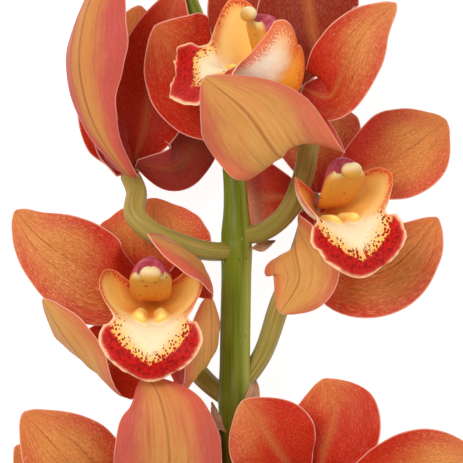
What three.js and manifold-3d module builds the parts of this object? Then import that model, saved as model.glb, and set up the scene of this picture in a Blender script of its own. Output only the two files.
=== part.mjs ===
// A cut flower stem of a large-flowered cymbidium orchid, lying on its back on a flat surface.
// The stem runs along +Y, its cut end towards -Y and two closed buds at the top; the open faces of
// the flowers look up (+Z). Millimetres, +Z up; the origin is on the surface, under the middle of
// the stem's bounding box. Each petal, sepal, lip, column, anther cap, pedicel and bract is a solid.
import * as THREE from "three";
import { mergeVertices } from "three/addons/utils/BufferGeometryUtils.js";
import Module from "manifold-3d";

// ---- Driving dimensions, mm ----------------------------------------------------------------
const FLOOR = -30; // height of the surface under the axis of the flowering part of the stem
const STEM_CUT_Y = -253; // where the stem is cut
const STEM_R_CUT = 5.4; // half thickness at the cut end
const STEM_R_TIP = 1.9; // half thickness below the buds
const PEDICEL_R = 3.6; // half thickness of a flower stalk
const TEPAL_THICK = 0.8; // petals and sepals
const LIP_THICK = 0.9;
const BRACT_THICK = 0.7;
const GAP = 0.3; // clearance between neighbouring pieces
const STEM_SIDES = 12;
const PEDICEL_SIDES = 8;

// ---- Materials -----------------------------------------------------------------------------
const paint = (hex, roughness) => () =>
  new THREE.MeshStandardMaterial({ color: hex, roughness, metalness: 0 });
const petalRed = paint(0xcf5a34, 0.5);
const lipCream = paint(0xf0d3a8, 0.45);
const columnPink = paint(0xd06a72, 0.4);
const capCream = paint(0xf3e3a4, 0.45);
const stalkOlive = paint(0x8c8a4a, 0.45);
const stemGreen = paint(0x5f7d22, 0.4);
const budOlive = paint(0xa98a4e, 0.5);
const bractStraw = paint(0xb58f6a, 0.7);

// ---- Small helpers -------------------------------------------------------------------------
const vec = (a) => new THREE.Vector3(a[0], a[1], a[2]);
const degrees = (a) => (a * Math.PI) / 180;
const clamp01 = (a) => Math.min(1, Math.max(0, a));

// A smooth function through [x, y] knots: cubic pieces whose slopes are the knots' own gradients.
function smooth(knots) {
  const n = knots.length;
  const slope = (i, j) => (knots[j][1] - knots[i][1]) / (knots[j][0] - knots[i][0]);
  const slopes = knots.map(([x], i) => {
    if (i === 0) return slope(0, 1);
    if (i === n - 1) return slope(n - 2, n - 1);
    const back = x - knots[i - 1][0];
    const ahead = knots[i + 1][0] - x;
    return (back * slope(i, i + 1) + ahead * slope(i - 1, i)) / (back + ahead);
  });
  return (x) => {
    let i = 0;
    while (i < n - 2 && x >= knots[i + 1][0]) i++;
    const h = knots[i + 1][0] - knots[i][0];
    const u = (x - knots[i][0]) / h;
    const w = 1 - u;
    return (
      (1 + 2 * u) * w * w * knots[i][1] + u * w * w * h * slopes[i] +
      u * u * (3 - 2 * u) * knots[i + 1][1] - u * u * w * h * slopes[i + 1]
    );
  };
}
const even = (values) => smooth(values.map((y, i) => [i / (values.length - 1), y]));

// A smooth curve through points, by the fraction of the distance from point to point.
function through(points) {
  const far = [0];
  for (let i = 1; i < points.length; i++) far.push(far[i - 1] + points[i].distanceTo(points[i - 1]));
  const axis = (c) => smooth(points.map((p, i) => [far[i] / far.at(-1), p.getComponent(c)]));
  const [x, y, z] = [axis(0), axis(1), axis(2)];
  return (t) => new THREE.Vector3(x(t), y(t), z(t));
}

// ---- Closed meshes -------------------------------------------------------------------------
function closedMesh(points, faces) {
  const geometry = new THREE.BufferGeometry();
  const flat = faces.flatMap((f) => f.flatMap((i) => points[i].toArray()));
  geometry.setAttribute("position", new THREE.Float32BufferAttribute(flat, 3));
  return geometry;
}

// A sheet of even thickness over surface(t, v), t from 0 to 1 and v from -1 to 1.
function sheet(surface, rows, columns, thick) {
  const [m, n] = [rows.length, columns.length];
  const normalAt = (t, v) => {
    const a = surface(Math.min(t + 0.012, 1), v).sub(surface(Math.max(t - 0.012, 0), v));
    const b = surface(t, Math.min(v + 0.05, 1)).sub(surface(t, Math.max(v - 0.05, -1)));
    return a.cross(b).normalize();
  };
  const points = [];
  for (const side of [1, -1])
    for (const t of rows)
      for (const v of columns)
        points.push(surface(t, v).addScaledVector(normalAt(t, v), (side * thick) / 2));
  const at = (s, i, j) => s * m * n + i * n + j;
  const faces = [];
  const quad = (a, b, c, d) => faces.push([a, b, c], [a, c, d]);
  for (let i = 0; i < m - 1; i++)
    for (let j = 0; j < n - 1; j++) {
      quad(at(0, i, j), at(0, i + 1, j), at(0, i + 1, j + 1), at(0, i, j + 1));
      faces.push([at(1, i, j), at(1, i + 1, j + 1), at(1, i + 1, j)]);
      faces.push([at(1, i, j), at(1, i, j + 1), at(1, i + 1, j + 1)]);
    }
  for (let i = 0; i < m - 1; i++) {
    quad(at(1, i, 0), at(1, i + 1, 0), at(0, i + 1, 0), at(0, i, 0));
    quad(at(0, i, n - 1), at(0, i + 1, n - 1), at(1, i + 1, n - 1), at(1, i, n - 1));
  }
  for (let j = 0; j < n - 1; j++) {
    quad(at(0, 0, j), at(0, 0, j + 1), at(1, 0, j + 1), at(1, 0, j));
    quad(at(1, m - 1, j), at(1, m - 1, j + 1), at(0, m - 1, j + 1), at(0, m - 1, j));
  }
  return closedMesh(points, faces);
}

// Rings of points joined in order and closed by a flat fan at each end.
function skin(rings) {
  const n = rings[0].length;
  const points = rings.flat();
  const middle = (ring) => ring.reduce((s, p) => s.add(p), vec([0, 0, 0])).divideScalar(n);
  points.push(middle(rings[0]), middle(rings.at(-1)));
  const faces = [];
  for (let i = 0; i < rings.length - 1; i++)
    for (let j = 0; j < n; j++) {
      const [a, b] = [i * n + j, i * n + ((j + 1) % n)];
      faces.push([a, b, b + n], [a, b + n, a + n]);
    }
  const last = (rings.length - 1) * n;
  for (let j = 0; j < n; j++) {
    faces.push([points.length - 2, (j + 1) % n, j]);
    faces.push([points.length - 1, last + j, last + ((j + 1) % n)]);
  }
  return closedMesh(points, faces);
}

// A round stalk along a curve; radius is a function of the fraction along it.
function stalk(curve, radius, steps, sides, grow = 0) {
  const rings = [];
  let side = null;
  for (let i = 0; i <= steps; i++) {
    const t = i / steps;
    const along = curve(Math.min(t + 0.01, 1)).sub(curve(Math.max(t - 0.01, 0))).normalize();
    if (!side) side = along.clone().cross(Math.abs(along.z) < 0.9 ? vec([0, 0, 1]) : vec([1, 0, 0]));
    side.addScaledVector(along, -side.dot(along)).normalize();
    const up = along.clone().cross(side);
    const ring = [];
    for (let k = 0; k < sides; k++) {
      const a = (2 * Math.PI * k) / sides;
      const r = radius(t) + grow;
      ring.push(curve(t).addScaledVector(side, r * Math.cos(a)).addScaledVector(up, r * Math.sin(a)));
    }
    rings.push(ring);
  }
  return skin(rings);
}

// ---- Booleans ------------------------------------------------------------------------------
const wasm = await Module();
wasm.setup();
function solid(geometry) {
  const merged = mergeVertices(geometry.clone(), 1e-4);
  return new wasm.Manifold(
    new wasm.Mesh({
      numProp: 3,
      vertProperties: new Float32Array(merged.attributes.position.array),
      triVerts: new Uint32Array(merged.index.array),
    }),
  );
}
function fromSolid(body) {
  const mesh = body.getMesh();
  const geometry = new THREE.BufferGeometry();
  geometry.setAttribute("position", new THREE.Float32BufferAttribute(mesh.vertProperties, 3));
  geometry.setIndex(new THREE.Uint32BufferAttribute(mesh.triVerts, 1));
  return geometry;
}
const without = (geometry, tool) => fromSolid(solid(geometry).subtract(solid(tool)));

// ---- The whole ----------------------------------------------------------------------------
const orchid = new THREE.Group();
const add = (name, geometry, material) => {
  const mesh = new THREE.Mesh(geometry, material());
  mesh.name = name;
  orchid.add(mesh);
};

// ---- Stem ----------------------------------------------------------------------------------
// Rests on the surface from the cut end, rises to the flowers, then leans left and down again.
const stemCurve = through([
  vec([2, STEM_CUT_Y, FLOOR + STEM_R_CUT]),
  vec([1.6, -220, FLOOR + STEM_R_CUT + 0.14]),
  vec([1.3, -185, FLOOR + STEM_R_CUT + 2.5]),
  vec([1, -140, -13]),
  vec([0.8, -75, 0]),
  vec([1.2, -33, 0]),
  vec([1.6, -6, 0]),
  vec([1, 17.5, -1]),
  vec([-3, 43.5, -9]),
  vec([-13.5, 76.5, -14]),
  vec([-22, 98, -16]),
]);
const stemRadius = smooth([
  [0, STEM_R_CUT], [0.1, STEM_R_CUT], [0.2, 5.3], [0.5, 5.1], [0.66, 5], [0.7, 4.9], [0.74, 4.1],
  [0.85, 3.3], [1, STEM_R_TIP],
]);
const stem = (grow = 0) => stalk(stemCurve, stemRadius, 28, STEM_SIDES, grow);
const grownStem = stem(GAP);

// The point of the stem's axis at a height y along it.
function onStem(y) {
  let [low, high] = [0, 1];
  for (let i = 0; i < 40; i++) {
    const half = (low + high) / 2;
    if (stemCurve(half).y < y) low = half;
    else high = half;
  }
  return stemCurve(low);
}

// ---- Petals and sepals -----------------------------------------------------------------------
// Half widths from root to tip, as a share of the widest.
const SEPAL = smooth([
  [0, 0.12], [0.08, 0.24], [0.2, 0.54], [0.36, 0.88], [0.5, 1], [0.66, 0.93], [0.8, 0.7], [0.91, 0.4],
  [0.97, 0.19], [1, 0.04],
]);
const PETAL = smooth([
  [0, 0.12], [0.08, 0.22], [0.22, 0.52], [0.4, 0.86], [0.56, 1], [0.71, 0.92], [0.84, 0.66], [0.93, 0.37],
  [0.98, 0.17], [1, 0.04],
]);
const TEPAL_ROWS = [0, 0.07, 0.18, 0.31, 0.46, 0.61, 0.76, 0.89, 1];
const TEPAL_COLUMNS = [-1, -0.68, -0.34, 0, 0.34, 0.68, 1];
const FINE = 60;

// A blade whose midrib runs through points. Its inner face looks along `inner`, given from root to
// tip; across the midrib it is an arc of half angle `cup` degrees, with a shallow groove. `sweep`
// draws each margin back towards the root, in mm; `late` above 1 puts the widest part nearer the tip.
function bladeSurface({ path, inner, width, cup, outline, sweep = [0, 0], late = 1 }) {
  const midrib = through(path);
  const looks = [0, 1, 2].map((c) => even(inner.map((n) => vec(n).normalize().getComponent(c))));
  const fine = [];
  for (let i = 0; i <= FINE; i++) {
    const along = midrib(Math.min(i + 1, FINE) / FINE).sub(midrib(Math.max(i - 1, 0) / FINE)).normalize();
    const normal = new THREE.Vector3(...looks.map((f) => f(i / FINE))).normalize();
    normal.addScaledVector(along, -normal.dot(along)).normalize();
    fine.push({ point: midrib(i / FINE), side: normal.clone().cross(along), normal, along });
  }
  const arc = even(cup);
  return (t, v) => {
    const k = Math.min(Math.floor(t * FINE), FINE - 1);
    const mix = (key) => fine[k][key].clone().lerp(fine[k + 1][key], t * FINE - k);
    const half = (width / 2) * outline(t ** late);
    const phi = degrees(arc(t));
    const groove = 0.5 * Math.exp(-((v / 0.12) ** 2)) * Math.sin(Math.PI * t);
    const lift = (half / phi) * (1 - Math.cos(phi * v)) - groove;
    const back = (v < 0 ? sweep[0] : sweep[1]) * v * v * Math.sin(Math.PI * t);
    return mix("point")
      .addScaledVector(mix("side").normalize(), (half / phi) * Math.sin(phi * v))
      .addScaledVector(mix("normal").normalize(), lift)
      .addScaledVector(mix("along"), -back);
  };
}

// Where each blade starts: the angle round the flower from its right side, how far out from the
// middle, and the height. The petals stand just above and outside the sepals.
const ROOTS = {
  sepal_dorsal: [90, 3, 0],
  petal_left: [150, 3.5, 1.5],
  petal_right: [30, 3.5, 1.5],
  sepal_left: [208, 3.2, 0],
  sepal_right: [332, 3.2, 0],
};

// ---- Lip -----------------------------------------------------------------------------------
// In the flower's own frame: x to its right, y to its crown, z the way it faces; the path is y, z.
// narrow: how wide the whole lip is; tall, curl and lean: the side lobes' height, how far they close
// over the column and lean forwards; front: the width of the front lobe; full: of the right lobe's rear.
const OPEN_LIP = {
  path: [[-3.8, 1.6], [-8, 10], [-9.5, 20], [-13, 27], [-20.5, 30.5], [-28.5, 28.5]],
  narrow: 1,
  tall: 1,
  curl: 1,
  lean: 2,
  front: 1,
};
const TALL_LIP = {
  path: [[-3.8, 1.6], [-8.6, 10], [-10.4, 20], [-14.4, 29], [-20.8, 29], [-30.8, 32.6]],
  narrow: 1,
  tall: 1.22,
  curl: 1.16,
  lean: 8,
  front: 1.33,
  full: 2.9,
};
const SHUT_LIP = {
  path: [[-3.8, 1.6], [-5.8, 8], [-6.2, 15], [-6.6, 20.5], [-7.5, 25], [-9, 29]],
  narrow: 0.4,
  tall: 1,
  curl: 1,
  lean: 0,
  front: 0.6,
};
const LIP_HALF = smooth([
  [0, 3], [0.08, 10.5], [0.2, 20], [0.28, 24], [0.36, 25], [0.42, 23], [0.47, 17.5], [0.51, 13.4],
  [0.58, 15.4], [0.66, 16.9], [0.78, 14.8], [0.88, 10.8], [0.95, 6.5], [0.985, 3.4], [1, 0.9],
]);
const LIP_CURL = smooth([
  [0, 80], [0.08, 118], [0.2, 112], [0.3, 100], [0.38, 88], [0.44, 70], [0.5, 45], [0.56, 30], [0.64, 15],
  [0.8, 5], [1, -25],
]);
const LIP_ROWS = [0, 0.08, 0.16, 0.24, 0.31, 0.37, 0.42, 0.465, 0.51, 0.58, 0.67, 0.77, 0.87, 0.95, 1];
const LIP_COLUMNS = [-1, -0.72, -0.45, -0.15, 0, 0.15, 0.45, 0.72, 1];

// The claw and side lobes curl up round the column, the front lobe spreads flat and turns down;
// two ridges, the keels, run along the middle.
function lipSurface({ path, narrow, tall, curl, lean, front, full = 1 }) {
  const [y, z] = [even(path.map((p) => p[0])), even(path.map((p) => p[1]))];
  return (t, v) => {
    const [a, b] = [Math.max(t - 0.001, 0), Math.min(t + 0.001, 1)];
    const along = vec([0, y(b) - y(a), z(b) - z(a)]).normalize();
    const normal = vec([0, along.z, -along.y]);
    const lobe = Math.exp(-(((t - 0.36) / 0.13) ** 2));
    const half = LIP_HALF(t) * (1 - (1 - narrow) * clamp01(t / 0.2)) * (1 + (tall - 1) * lobe) *
      (1 + (front - 1) * clamp01((t - 0.5) / 0.15)) *
      (v < 0 ? 1 : 1 + (full - 1) * Math.exp(-((t / 0.14) ** 2)));
    const phi = degrees(LIP_CURL(t) * (1 + (curl - 1) * lobe));
    const edge = clamp01((Math.abs(v) - 0.6) / 0.4) ** 1.5;
    const frill = 0.7 * edge * Math.sin(14 * Math.PI * t + Math.sign(v) * 0.6);
    const free = clamp01((t - 0.4) / 0.15) * clamp01((1.02 - t) / 0.1);
    const keel = 2.3 * narrow * Math.exp(-(((Math.abs(v) - 0.15) / 0.07) ** 2));
    const lift = (half / phi) * (1 - Math.cos(phi * v)) + frill * free +
      keel * clamp01((t - 0.12) / 0.1) * clamp01((0.5 - t) / 0.08);
    const ahead = lean * lobe * v * v;
    return vec([(half / phi) * Math.sin(phi * v), y(t), z(t) + ahead]).addScaledVector(normal, lift);
  };
}

// ---- Column and anther cap -------------------------------------------------------------------
const COLUMN_PATH = [[0, -0.4], [-1.7, 7], [-1.7, 15], [2.5, 23.5], [6.3, 30]]; // y, z
const COLUMN_WIDE = smooth([
  [0, 1.9], [0.1, 2.2], [0.18, 2.6], [0.3, 3.8], [0.5, 6], [0.75, 6.8], [0.9, 6.5], [1, 4.6],
]);
const COLUMN_DEEP = smooth([[0, 1.6], [0.1, 2], [0.3, 3], [0.6, 3.4], [0.85, 3.6], [0.95, 3.2], [1, 2.2]]);
const COLUMN_HOOD = smooth([[0, 0], [0.55, 0], [0.85, 0.8], [0.95, 1.25], [1, 1.3]]); // swelling of its back
const COLUMN_FLAT = 0.45; // how much of its depth the column has on its lower side
const CAP_HALF = [3.5, 2.7, 2.2]; // across, crown to lip, forwards

// `slim` is the share of its full width the column has.
function columnGeometry(slim) {
  const [y, z] = [even(COLUMN_PATH.map((p) => p[0])), even(COLUMN_PATH.map((p) => p[1]))];
  const rings = [0, 0.15, 0.35, 0.55, 0.75, 0.88, 1].map((t) => {
    const [a, b] = [Math.max(t - 0.01, 0), Math.min(t + 0.01, 1)];
    const along = vec([0, y(b) - y(a), z(b) - z(a)]).normalize();
    const up = vec([0, along.z, -along.y]);
    const ring = [];
    for (let k = 0; k < 10; k++) {
      const angle = (2 * Math.PI * k) / 10;
      const rise = Math.sin(angle) * (Math.sin(angle) < 0 ? COLUMN_FLAT : 1 + COLUMN_HOOD(t) * slim ** 3);
      ring.push(
        vec([COLUMN_WIDE(t) * slim * Math.cos(angle), y(t), z(t)]).addScaledVector(up, COLUMN_DEEP(t) * rise),
      );
    }
    return ring;
  });
  return skin(rings);
}

function capGeometry() {
  const ball = new THREE.SphereGeometry(1, 10, 6);
  ball.deleteAttribute("normal");
  ball.deleteAttribute("uv");
  const [, top] = COLUMN_PATH.at(-1);
  return ball
    .scale(...CAP_HALF)
    .translate(0, COLUMN_PATH.at(-1)[0], top + GAP + CAP_HALF[2] + 0.1);
}

// ---- Flowers ---------------------------------------------------------------------------------
// at: base of the flower. faces: the way it looks. crown: the way its dorsal sepal stands.
// Each blade: points of its midrib measured from the base, and the way its inner face looks at the
// root, on the way and at the tip. joint: height along the stem where the flower stalk leaves it;
// bends: points of the stalk on its way to the base.
const FLOWERS = {
  flower_1: {
    at: [-34, 19.5, 4], faces: [-0.4, 0.91, 0.13], crown: [0.3, 0.1, -0.95], lip: SHUT_LIP,
    joint: -6.8, bends: [[-9, -6.2, 6], [-17.5, -3.8, 9], [-26, -0.2, 10], [-31.4, 5, 9]],
    blades: {
      sepal_dorsal: { path: [[4.5, 12, -8.5], [7, 27.4, -10], [11, 44, -11], [16.5, 62, -12.5]],
        inner: [[0.2, 0.8, 0.5], [0, 0.05, 1], [0, -0.1, 1]], width: 30, cup: [35, 45, 35], late: 0.77 },
      petal_left: { path: [[-6, 7.5, -16.6], [-2, 30, -31.4], [3, 57, -33.6]],
        inner: [[-0.2, 0.8, 0.5], [0, 0.1, 1], [0.1, -0.1, 1]], width: 31, cup: [30, 20] },
      petal_right: { width: 20.5, cup: [22, 12], late: 0.92,
        path: [[15, 1.4, -6.1], [19.3, 6.6, -12.6], [21.5, 12.2, -15.5], [20.5, 23, -18.5], [16.5, 34, -20]],
        inner: [[-0.3, 0.5, -0.8], [-0.2, 0.2, -0.95], [0.1, 0, -1]] },
      sepal_left: { path: [[-6.9, 4.7, -4], [-15.4, 27, -13.5], [-13, 49.5, -12]],
        inner: [[-0.1, 0.9, 0.3], [0.95, 0.2, 0], [0.95, -0.1, 0]], width: 19, cup: [20, 15] },
      sepal_right: { late: 1.6, width: 32, cup: [45, 55, 50],
        path: [[0.8, -1.2, 11], [-4.5, 5.5, 16.9], [-9.7, 14.5, 19], [-13.5, 26, 19], [-14.7, 37, 19],
          [-13.8, 46, 18], [-6, 70, 10]],
        inner: [[0.3, 0.6, -0.8], [0.4, 0.4, -0.85], [0.6, 0.1, -0.78], [0.77, 0, -0.63],
          [0.75, -0.1, -0.65]] },
    },
  },
  flower_2: {
    at: [21.7, 45.2, 14], faces: [-0.62, 0.615, 0.47], crown: [0.67, 0.75, -0.09], lip: TALL_LIP,
    joint: -1.5, bends: [[10, -0.2, 3], [17.5, 5.5, 6], [22.5, 15, 8], [25.5, 30, 7]],
    blades: {
      sepal_dorsal: { path: [[6, 9, -2], [4.5, 23.5, -9], [0.5, 48.5, -13]],
        inner: [[-0.7, 0.5, 0.4], [-0.2, -0.2, 1], [-0.2, -0.2, 1]], width: 36, cup: [30, 20] },
      petal_left: { path: [[-6, 8, -17], [-15.5, 25, -26], [-24, 45.5, -30]],
        inner: [[-0.6, 0.5, 0.5], [0.1, 0.1, 1], [0.1, 0, 1]], width: 30, cup: [30, 20] },
      petal_right: { path: [[9.8, -1.6, 6.5], [15.5, 9, 11], [22.5, 20.5, 12], [31.5, 28.5, 12]],
        inner: [[-0.7, 0.5, 0.4], [-0.35, -0.1, 0.9], [-0.2, -0.1, 1]], width: 25, cup: [30, 20],
        late: 0.72 },
      sepal_left: { path: [[-15.5, -5, -6], [-29.5, -0.5, -8], [-38.5, 9.5, -7], [-46.5, 22.5, -4]],
        inner: [[-0.6, 0.6, 0.4], [0.1, 0.3, 0.95], [0.1, -0.1, 1]], width: 36, cup: [30, 20],
        sweep: [-14, 0] },
      sepal_right: { path: [[-4.8, -16.8, 14.5], [-6.4, -20.9, 25.5], [-17.3, -6.9, 33.8], [-30.3, 3.6, 38]],
        inner: [[-0.7, 0.6, 0.2], [-0.2, 0.55, -0.81], [-0.1, 0.5, -0.86]], width: 37.5, cup: [34, 22],
        sweep: [-4, 18], late: 1.3 },
    },
  },
  flower_3: {
    at: [28.5, 9.6, -3], faces: [0.34, 0.12, 0.92], crown: [-0.12, 1, 0], lip: OPEN_LIP,
    joint: -54, bends: [[10, -41, -4], [16, -24.5, -9], [22, -10, -15], [26, 3, -15.5]],
    blades: {
      sepal_dorsal: { path: [[-1.5, 16, -8], [-2.5, 28, -18], [-3, 40, -26.6]],
        inner: [[0.2, -0.2, 1], [0.1, 0.3, 0.9], [0.1, 0.5, 0.8]], width: 34, cup: [30, 20] },
      petal_left: { path: [[-10, 2, 0], [-19, 1.5, -9], [-24.5, -1, -22]],
        inner: [[0.2, 0, 1], [-0.2, 0, 1], [-0.5, 0, 0.9]], width: 30, cup: [30, 20] },
      petal_right: { path: [[13, 9, 3], [28, 16.5, 0], [43, 27.5, -7]],
        inner: [[0.2, -0.1, 0.9], [-0.1, 0.1, 1], [0, 0.1, 1]], width: 31, cup: [25, 10] },
      sepal_left: { path: [[-4, -5.5, 3], [-7, -15.5, 10.5], [-6, -25, 12], [-12.5, -36.5, 10]],
        inner: [[0.3, 0.1, 0.9], [0.8, 0.1, 0.2], [0.4, 0, -0.9], [0.3, 0, -0.95], [0.3, 0, -0.95]],
        width: 27, cup: [30, 20] },
      sepal_right: { width: 30, cup: [20, 15], inner: [[0.3, 0.1, 1], [0, 0.1, 1], [-0.1, 0.2, 1]],
        path: [[1.5, -11, -1.8], [9.5, -23, -6.6], [22.5, -22.5, -3], [32.5, -14.5, -1], [40, -5, -5]] },
    },
  },
  flower_4: {
    at: [-26.5, -19.3, 3], faces: [0.02, -0.02, 1], crown: [0, 1, 0], lip: OPEN_LIP,
    joint: -57, bends: [[-9, -49, -7], [-17, -39.5, -12], [-24, -28, -12]],
    blades: {
      sepal_dorsal: { path: [[0.4, 9.3, -4], [0.5, 19, -9.5], [0.5, 30.5, -20]],
        inner: [[0, -0.1, 1], [0, 0.3, 1], [0, 0.8, 0.6]], width: 39, cup: [16, 15], late: 0.72 },
      petal_left: { path: [[-14.3, 2, 8.5], [-26.8, 10.2, 8], [-38.3, 19.1, 5.5], [-44.6, 26.2, 2]],
        inner: [[0.2, -0.1, 1], [0.1, -0.2, 1], [0, 0, 1]], width: 31.5, cup: [12, 10], late: 0.62 },
      petal_right: { path: [[16.8, 7, 15.5], [11, 13, 29], [0, 18, 39]],
        inner: [[-0.3, -0.1, 0.9], [-0.75, -0.5, 0.2], [-0.6, -0.7, -0.3]], width: 26, cup: [30, 30] },
      sepal_left: { path: [[-10.3, -19, 1.5], [-16.5, -26, 8], [-26, -16.5, 13], [-35, -2.5, 13]],
        inner: [[0.3, 0.2, 1], [0.4, 0.35, 0.85], [0.75, 0.6, -0.45], [0.6, 0.6, -0.6]],
        width: 30, cup: [25, 25] },
      sepal_right: { path: [[9.8, -18, 2], [16.2, -28.5, 6.5], [18.8, -16.5, 11], [19.3, -1.5, 9.5]],
        inner: [[-0.3, 0.2, 1], [-0.35, 0.35, 0.87], [-0.8, 0.2, -0.5], [-0.7, 0.1, -0.7]],
        width: 25, cup: [25, 25] },
    },
  },
  flower_5: {
    at: [-18.6, -102, 0], faces: [-0.2, 0.93, 0.3], crown: [-0.6, -0.1, -0.75], lip: SHUT_LIP,
    joint: -136, bends: [[-6.5, -129, -10], [-13.5, -119, -7]],
    blades: {
      sepal_dorsal: { path: [[-18, 4, -13], [-38, 15, -19], [-54, 30, -20]],
        inner: [[-0.2, 0.9, 0.4], [0.2, 0.4, 0.9], [0.2, 0.1, 1]], width: 34, cup: [30, 20] },
      petal_left: { path: [[-18, 10.5, 0], [-34.5, 26.5, 4], [-50, 42.5, 4]],
        inner: [[-0.1, 0.9, 0.3], [0.2, 0.3, 0.93], [0.1, 0.1, 1]], width: 33, cup: [30, 20] },
      petal_right: { path: [[1, 12.5, -13], [-2, 28.5, -20], [-5.5, 45, -21]],
        inner: [[-0.2, 0.9, 0.2], [0, 0.1, 1], [0, 0, 1]], width: 30, cup: [30, 20] },
      sepal_left: { path: [[-5, 5.5, 14.5], [-1.5, 31, 30], [-4.5, 48.5, 30], [-9.5, 55.5, 19]],
        inner: [[-0.1, 0.9, 0.1], [-0.1, 0.1, -1], [-0.1, -0.5, -0.9]], width: 37, cup: [35, 30] },
      sepal_right: { path: [[9.5, 8, 0.8], [12, 24.5, -1], [11, 39.5, -5]],
        inner: [[-0.4, 0.9, 0.2], [-0.9, 0.1, 0.4], [-0.8, 0, 0.6]], width: 30, cup: [30, 20] },
    },
  },
  flower_6: {
    at: [27.6, -86, 0], faces: [0.05, -0.02, 1], crown: [0, 1, 0], lip: OPEN_LIP,
    joint: -120, bends: [[11, -111, -12], [21, -100, -14], [27, -91, -12]],
    blades: {
      sepal_dorsal: { path: [[3, 14.5, 4], [6, 26, 4], [3, 37.5, -1]],
        inner: [[0, -0.3, 1], [0, 0.1, 1], [0, 0.3, 0.9]], width: 33, cup: [25, 20] },
      petal_left: { path: [[-10, 11, 9], [-17.5, 22, 14], [-24, 31, 14]],
        inner: [[0.2, -0.3, 1], [0.1, -0.1, 1], [0, 0.1, 1]], width: 30, cup: [20, 10] },
      petal_right: { path: [[14.5, 2.5, 8], [34, 7.5, 12], [55.5, 11, 8]],
        inner: [[-0.2, -0.3, 1], [-0.1, -0.1, 1], [0, 0.1, 1]], width: 29, cup: [20, 15] },
      sepal_left: { path: [[-8, -13.5, 4], [-13, -28, 9], [-13.5, -44.5, 8]],
        inner: [[0.1, 0.3, 1], [0.1, 0.1, 1], [0, -0.2, 1]], width: 32, cup: [30, 20] },
      sepal_right: { path: [[12, -10, 3], [25, -22, 5], [36, -33, 2]],
        inner: [[0, 0.3, 1], [0, 0.1, 1], [0.1, -0.2, 1]], width: 32, cup: [30, 20] },
    },
  },
};

function flower(name, { at, faces, crown, lip, joint, bends, blades }) {
  const base = vec(at);
  const z = vec(faces).normalize();
  const y = vec(crown).addScaledVector(z, -vec(crown).dot(z)).normalize();
  const x = y.clone().cross(z);
  const place = new THREE.Matrix4().makeBasis(x, y, z).setPosition(base);

  for (const [blade, form] of Object.entries(blades)) {
    const [angle, out, height] = ROOTS[blade];
    const root = vec([out * Math.cos(degrees(angle)), out * Math.sin(degrees(angle)), height]);
    const path = [root.applyMatrix4(place), ...form.path.map((p) => vec(p).add(base))];
    const outline = blade.startsWith("petal") ? PETAL : SEPAL;
    const surface = bladeSurface({ ...form, path, outline });
    add(`${name}_${blade}`, sheet(surface, TEPAL_ROWS, TEPAL_COLUMNS, TEPAL_THICK), petalRed);
  }
  add(`${name}_lip`, sheet(lipSurface(lip), LIP_ROWS, LIP_COLUMNS, LIP_THICK).applyMatrix4(place), lipCream);
  add(`${name}_column`, columnGeometry((1 + lip.narrow) / 2).applyMatrix4(place), columnPink);
  add(`${name}_anther_cap`, capGeometry().applyMatrix4(place), capCream);

  // The stalk leaves the stem, bends, and ends square under the flower.
  const under = [-6.5, -0.8].map((h) => base.clone().addScaledVector(z, h));
  const curve = through([onStem(joint), ...bends.map(vec), ...under]);
  const radius = even([2.9, 3.2, 3.5, PEDICEL_R, PEDICEL_R, 3.2]);
  add(`${name}_pedicel`, without(stalk(curve, radius, 12, PEDICEL_SIDES), grownStem), stalkOlive);
}

// ---- Buds ------------------------------------------------------------------------------------
// A closed bud on its thin stalk, one body: thin, then swelling, then drawn to a blunt point.
const BUD_RADIUS = smooth([
  [0, 1.5], [0.35, 1.8], [0.5, 2.6], [0.6, 5], [0.75, 6.8], [0.88, 5.2], [0.97, 2.2], [1, 0.7],
]);
function bud(name, points) {
  add(name, without(stalk(through(points.map(vec)), BUD_RADIUS, 14, 8), grownStem), budOlive);
}

// ---- Bracts ----------------------------------------------------------------------------------
// Small dry scales, one at the foot of a flower stalk.
function bract(name, path, inner, width) {
  const surface = bladeSurface({ path: path.map(vec), inner, width, cup: [50, 30], outline: SEPAL });
  add(name, sheet(surface, [0, 0.15, 0.35, 0.6, 0.82, 1], [-1, -0.5, 0, 0.5, 1], BRACT_THICK), bractStraw);
}

add("stem", stem(), stemGreen);
for (const [name, form] of Object.entries(FLOWERS)) flower(name, form);
bud("bud_1", [[-17, 84, -15], [-26, 96, -15], [-33, 110, -13], [-40, 126, -10]]);
bud("bud_2", [[-20, 93, -15.5], [-20, 104, -16], [-16, 118, -14], [-13, 138, -9]]);
bract("bract_1", [[6.6, -5.5, 4], [10, -5, 0], [14.5, -3, -2]], [[1, 0, 0.3], [-0.1, 0.9, 0.4]], 4.5);
bract("bract_2", [[5.6, -60, 3.3], [7.2, -54, 4.5], [8, -49, 4.2]], [[-0.2, 0.2, 1], [-0.3, 0, 1]], 5);
bract("bract_3", [[-1.8, -66, 5.6], [-5, -62, 5], [-6.5, -56, 3.6]], [[0, 0, 1], [0.5, 0, 1], [1, 0, 0.3]],
  4);

// The origin: on the surface, under the middle of the whole.
const box = new THREE.Box3().setFromObject(orchid);
const middle = box.getCenter(new THREE.Vector3());
orchid.position.set(-middle.x, -middle.y, -box.min.z);

export default orchid;
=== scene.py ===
"""A cut cymbidium orchid stem lying on its back: fine surfaces and finishes over its solid model.

Shapes are worked out in millimetres in the grower's frame (x right, y up the stem, z the way the
open flowers look, the surface it lies on at z = -30), then moved by ORIGIN into the model's frame.
"""

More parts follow.
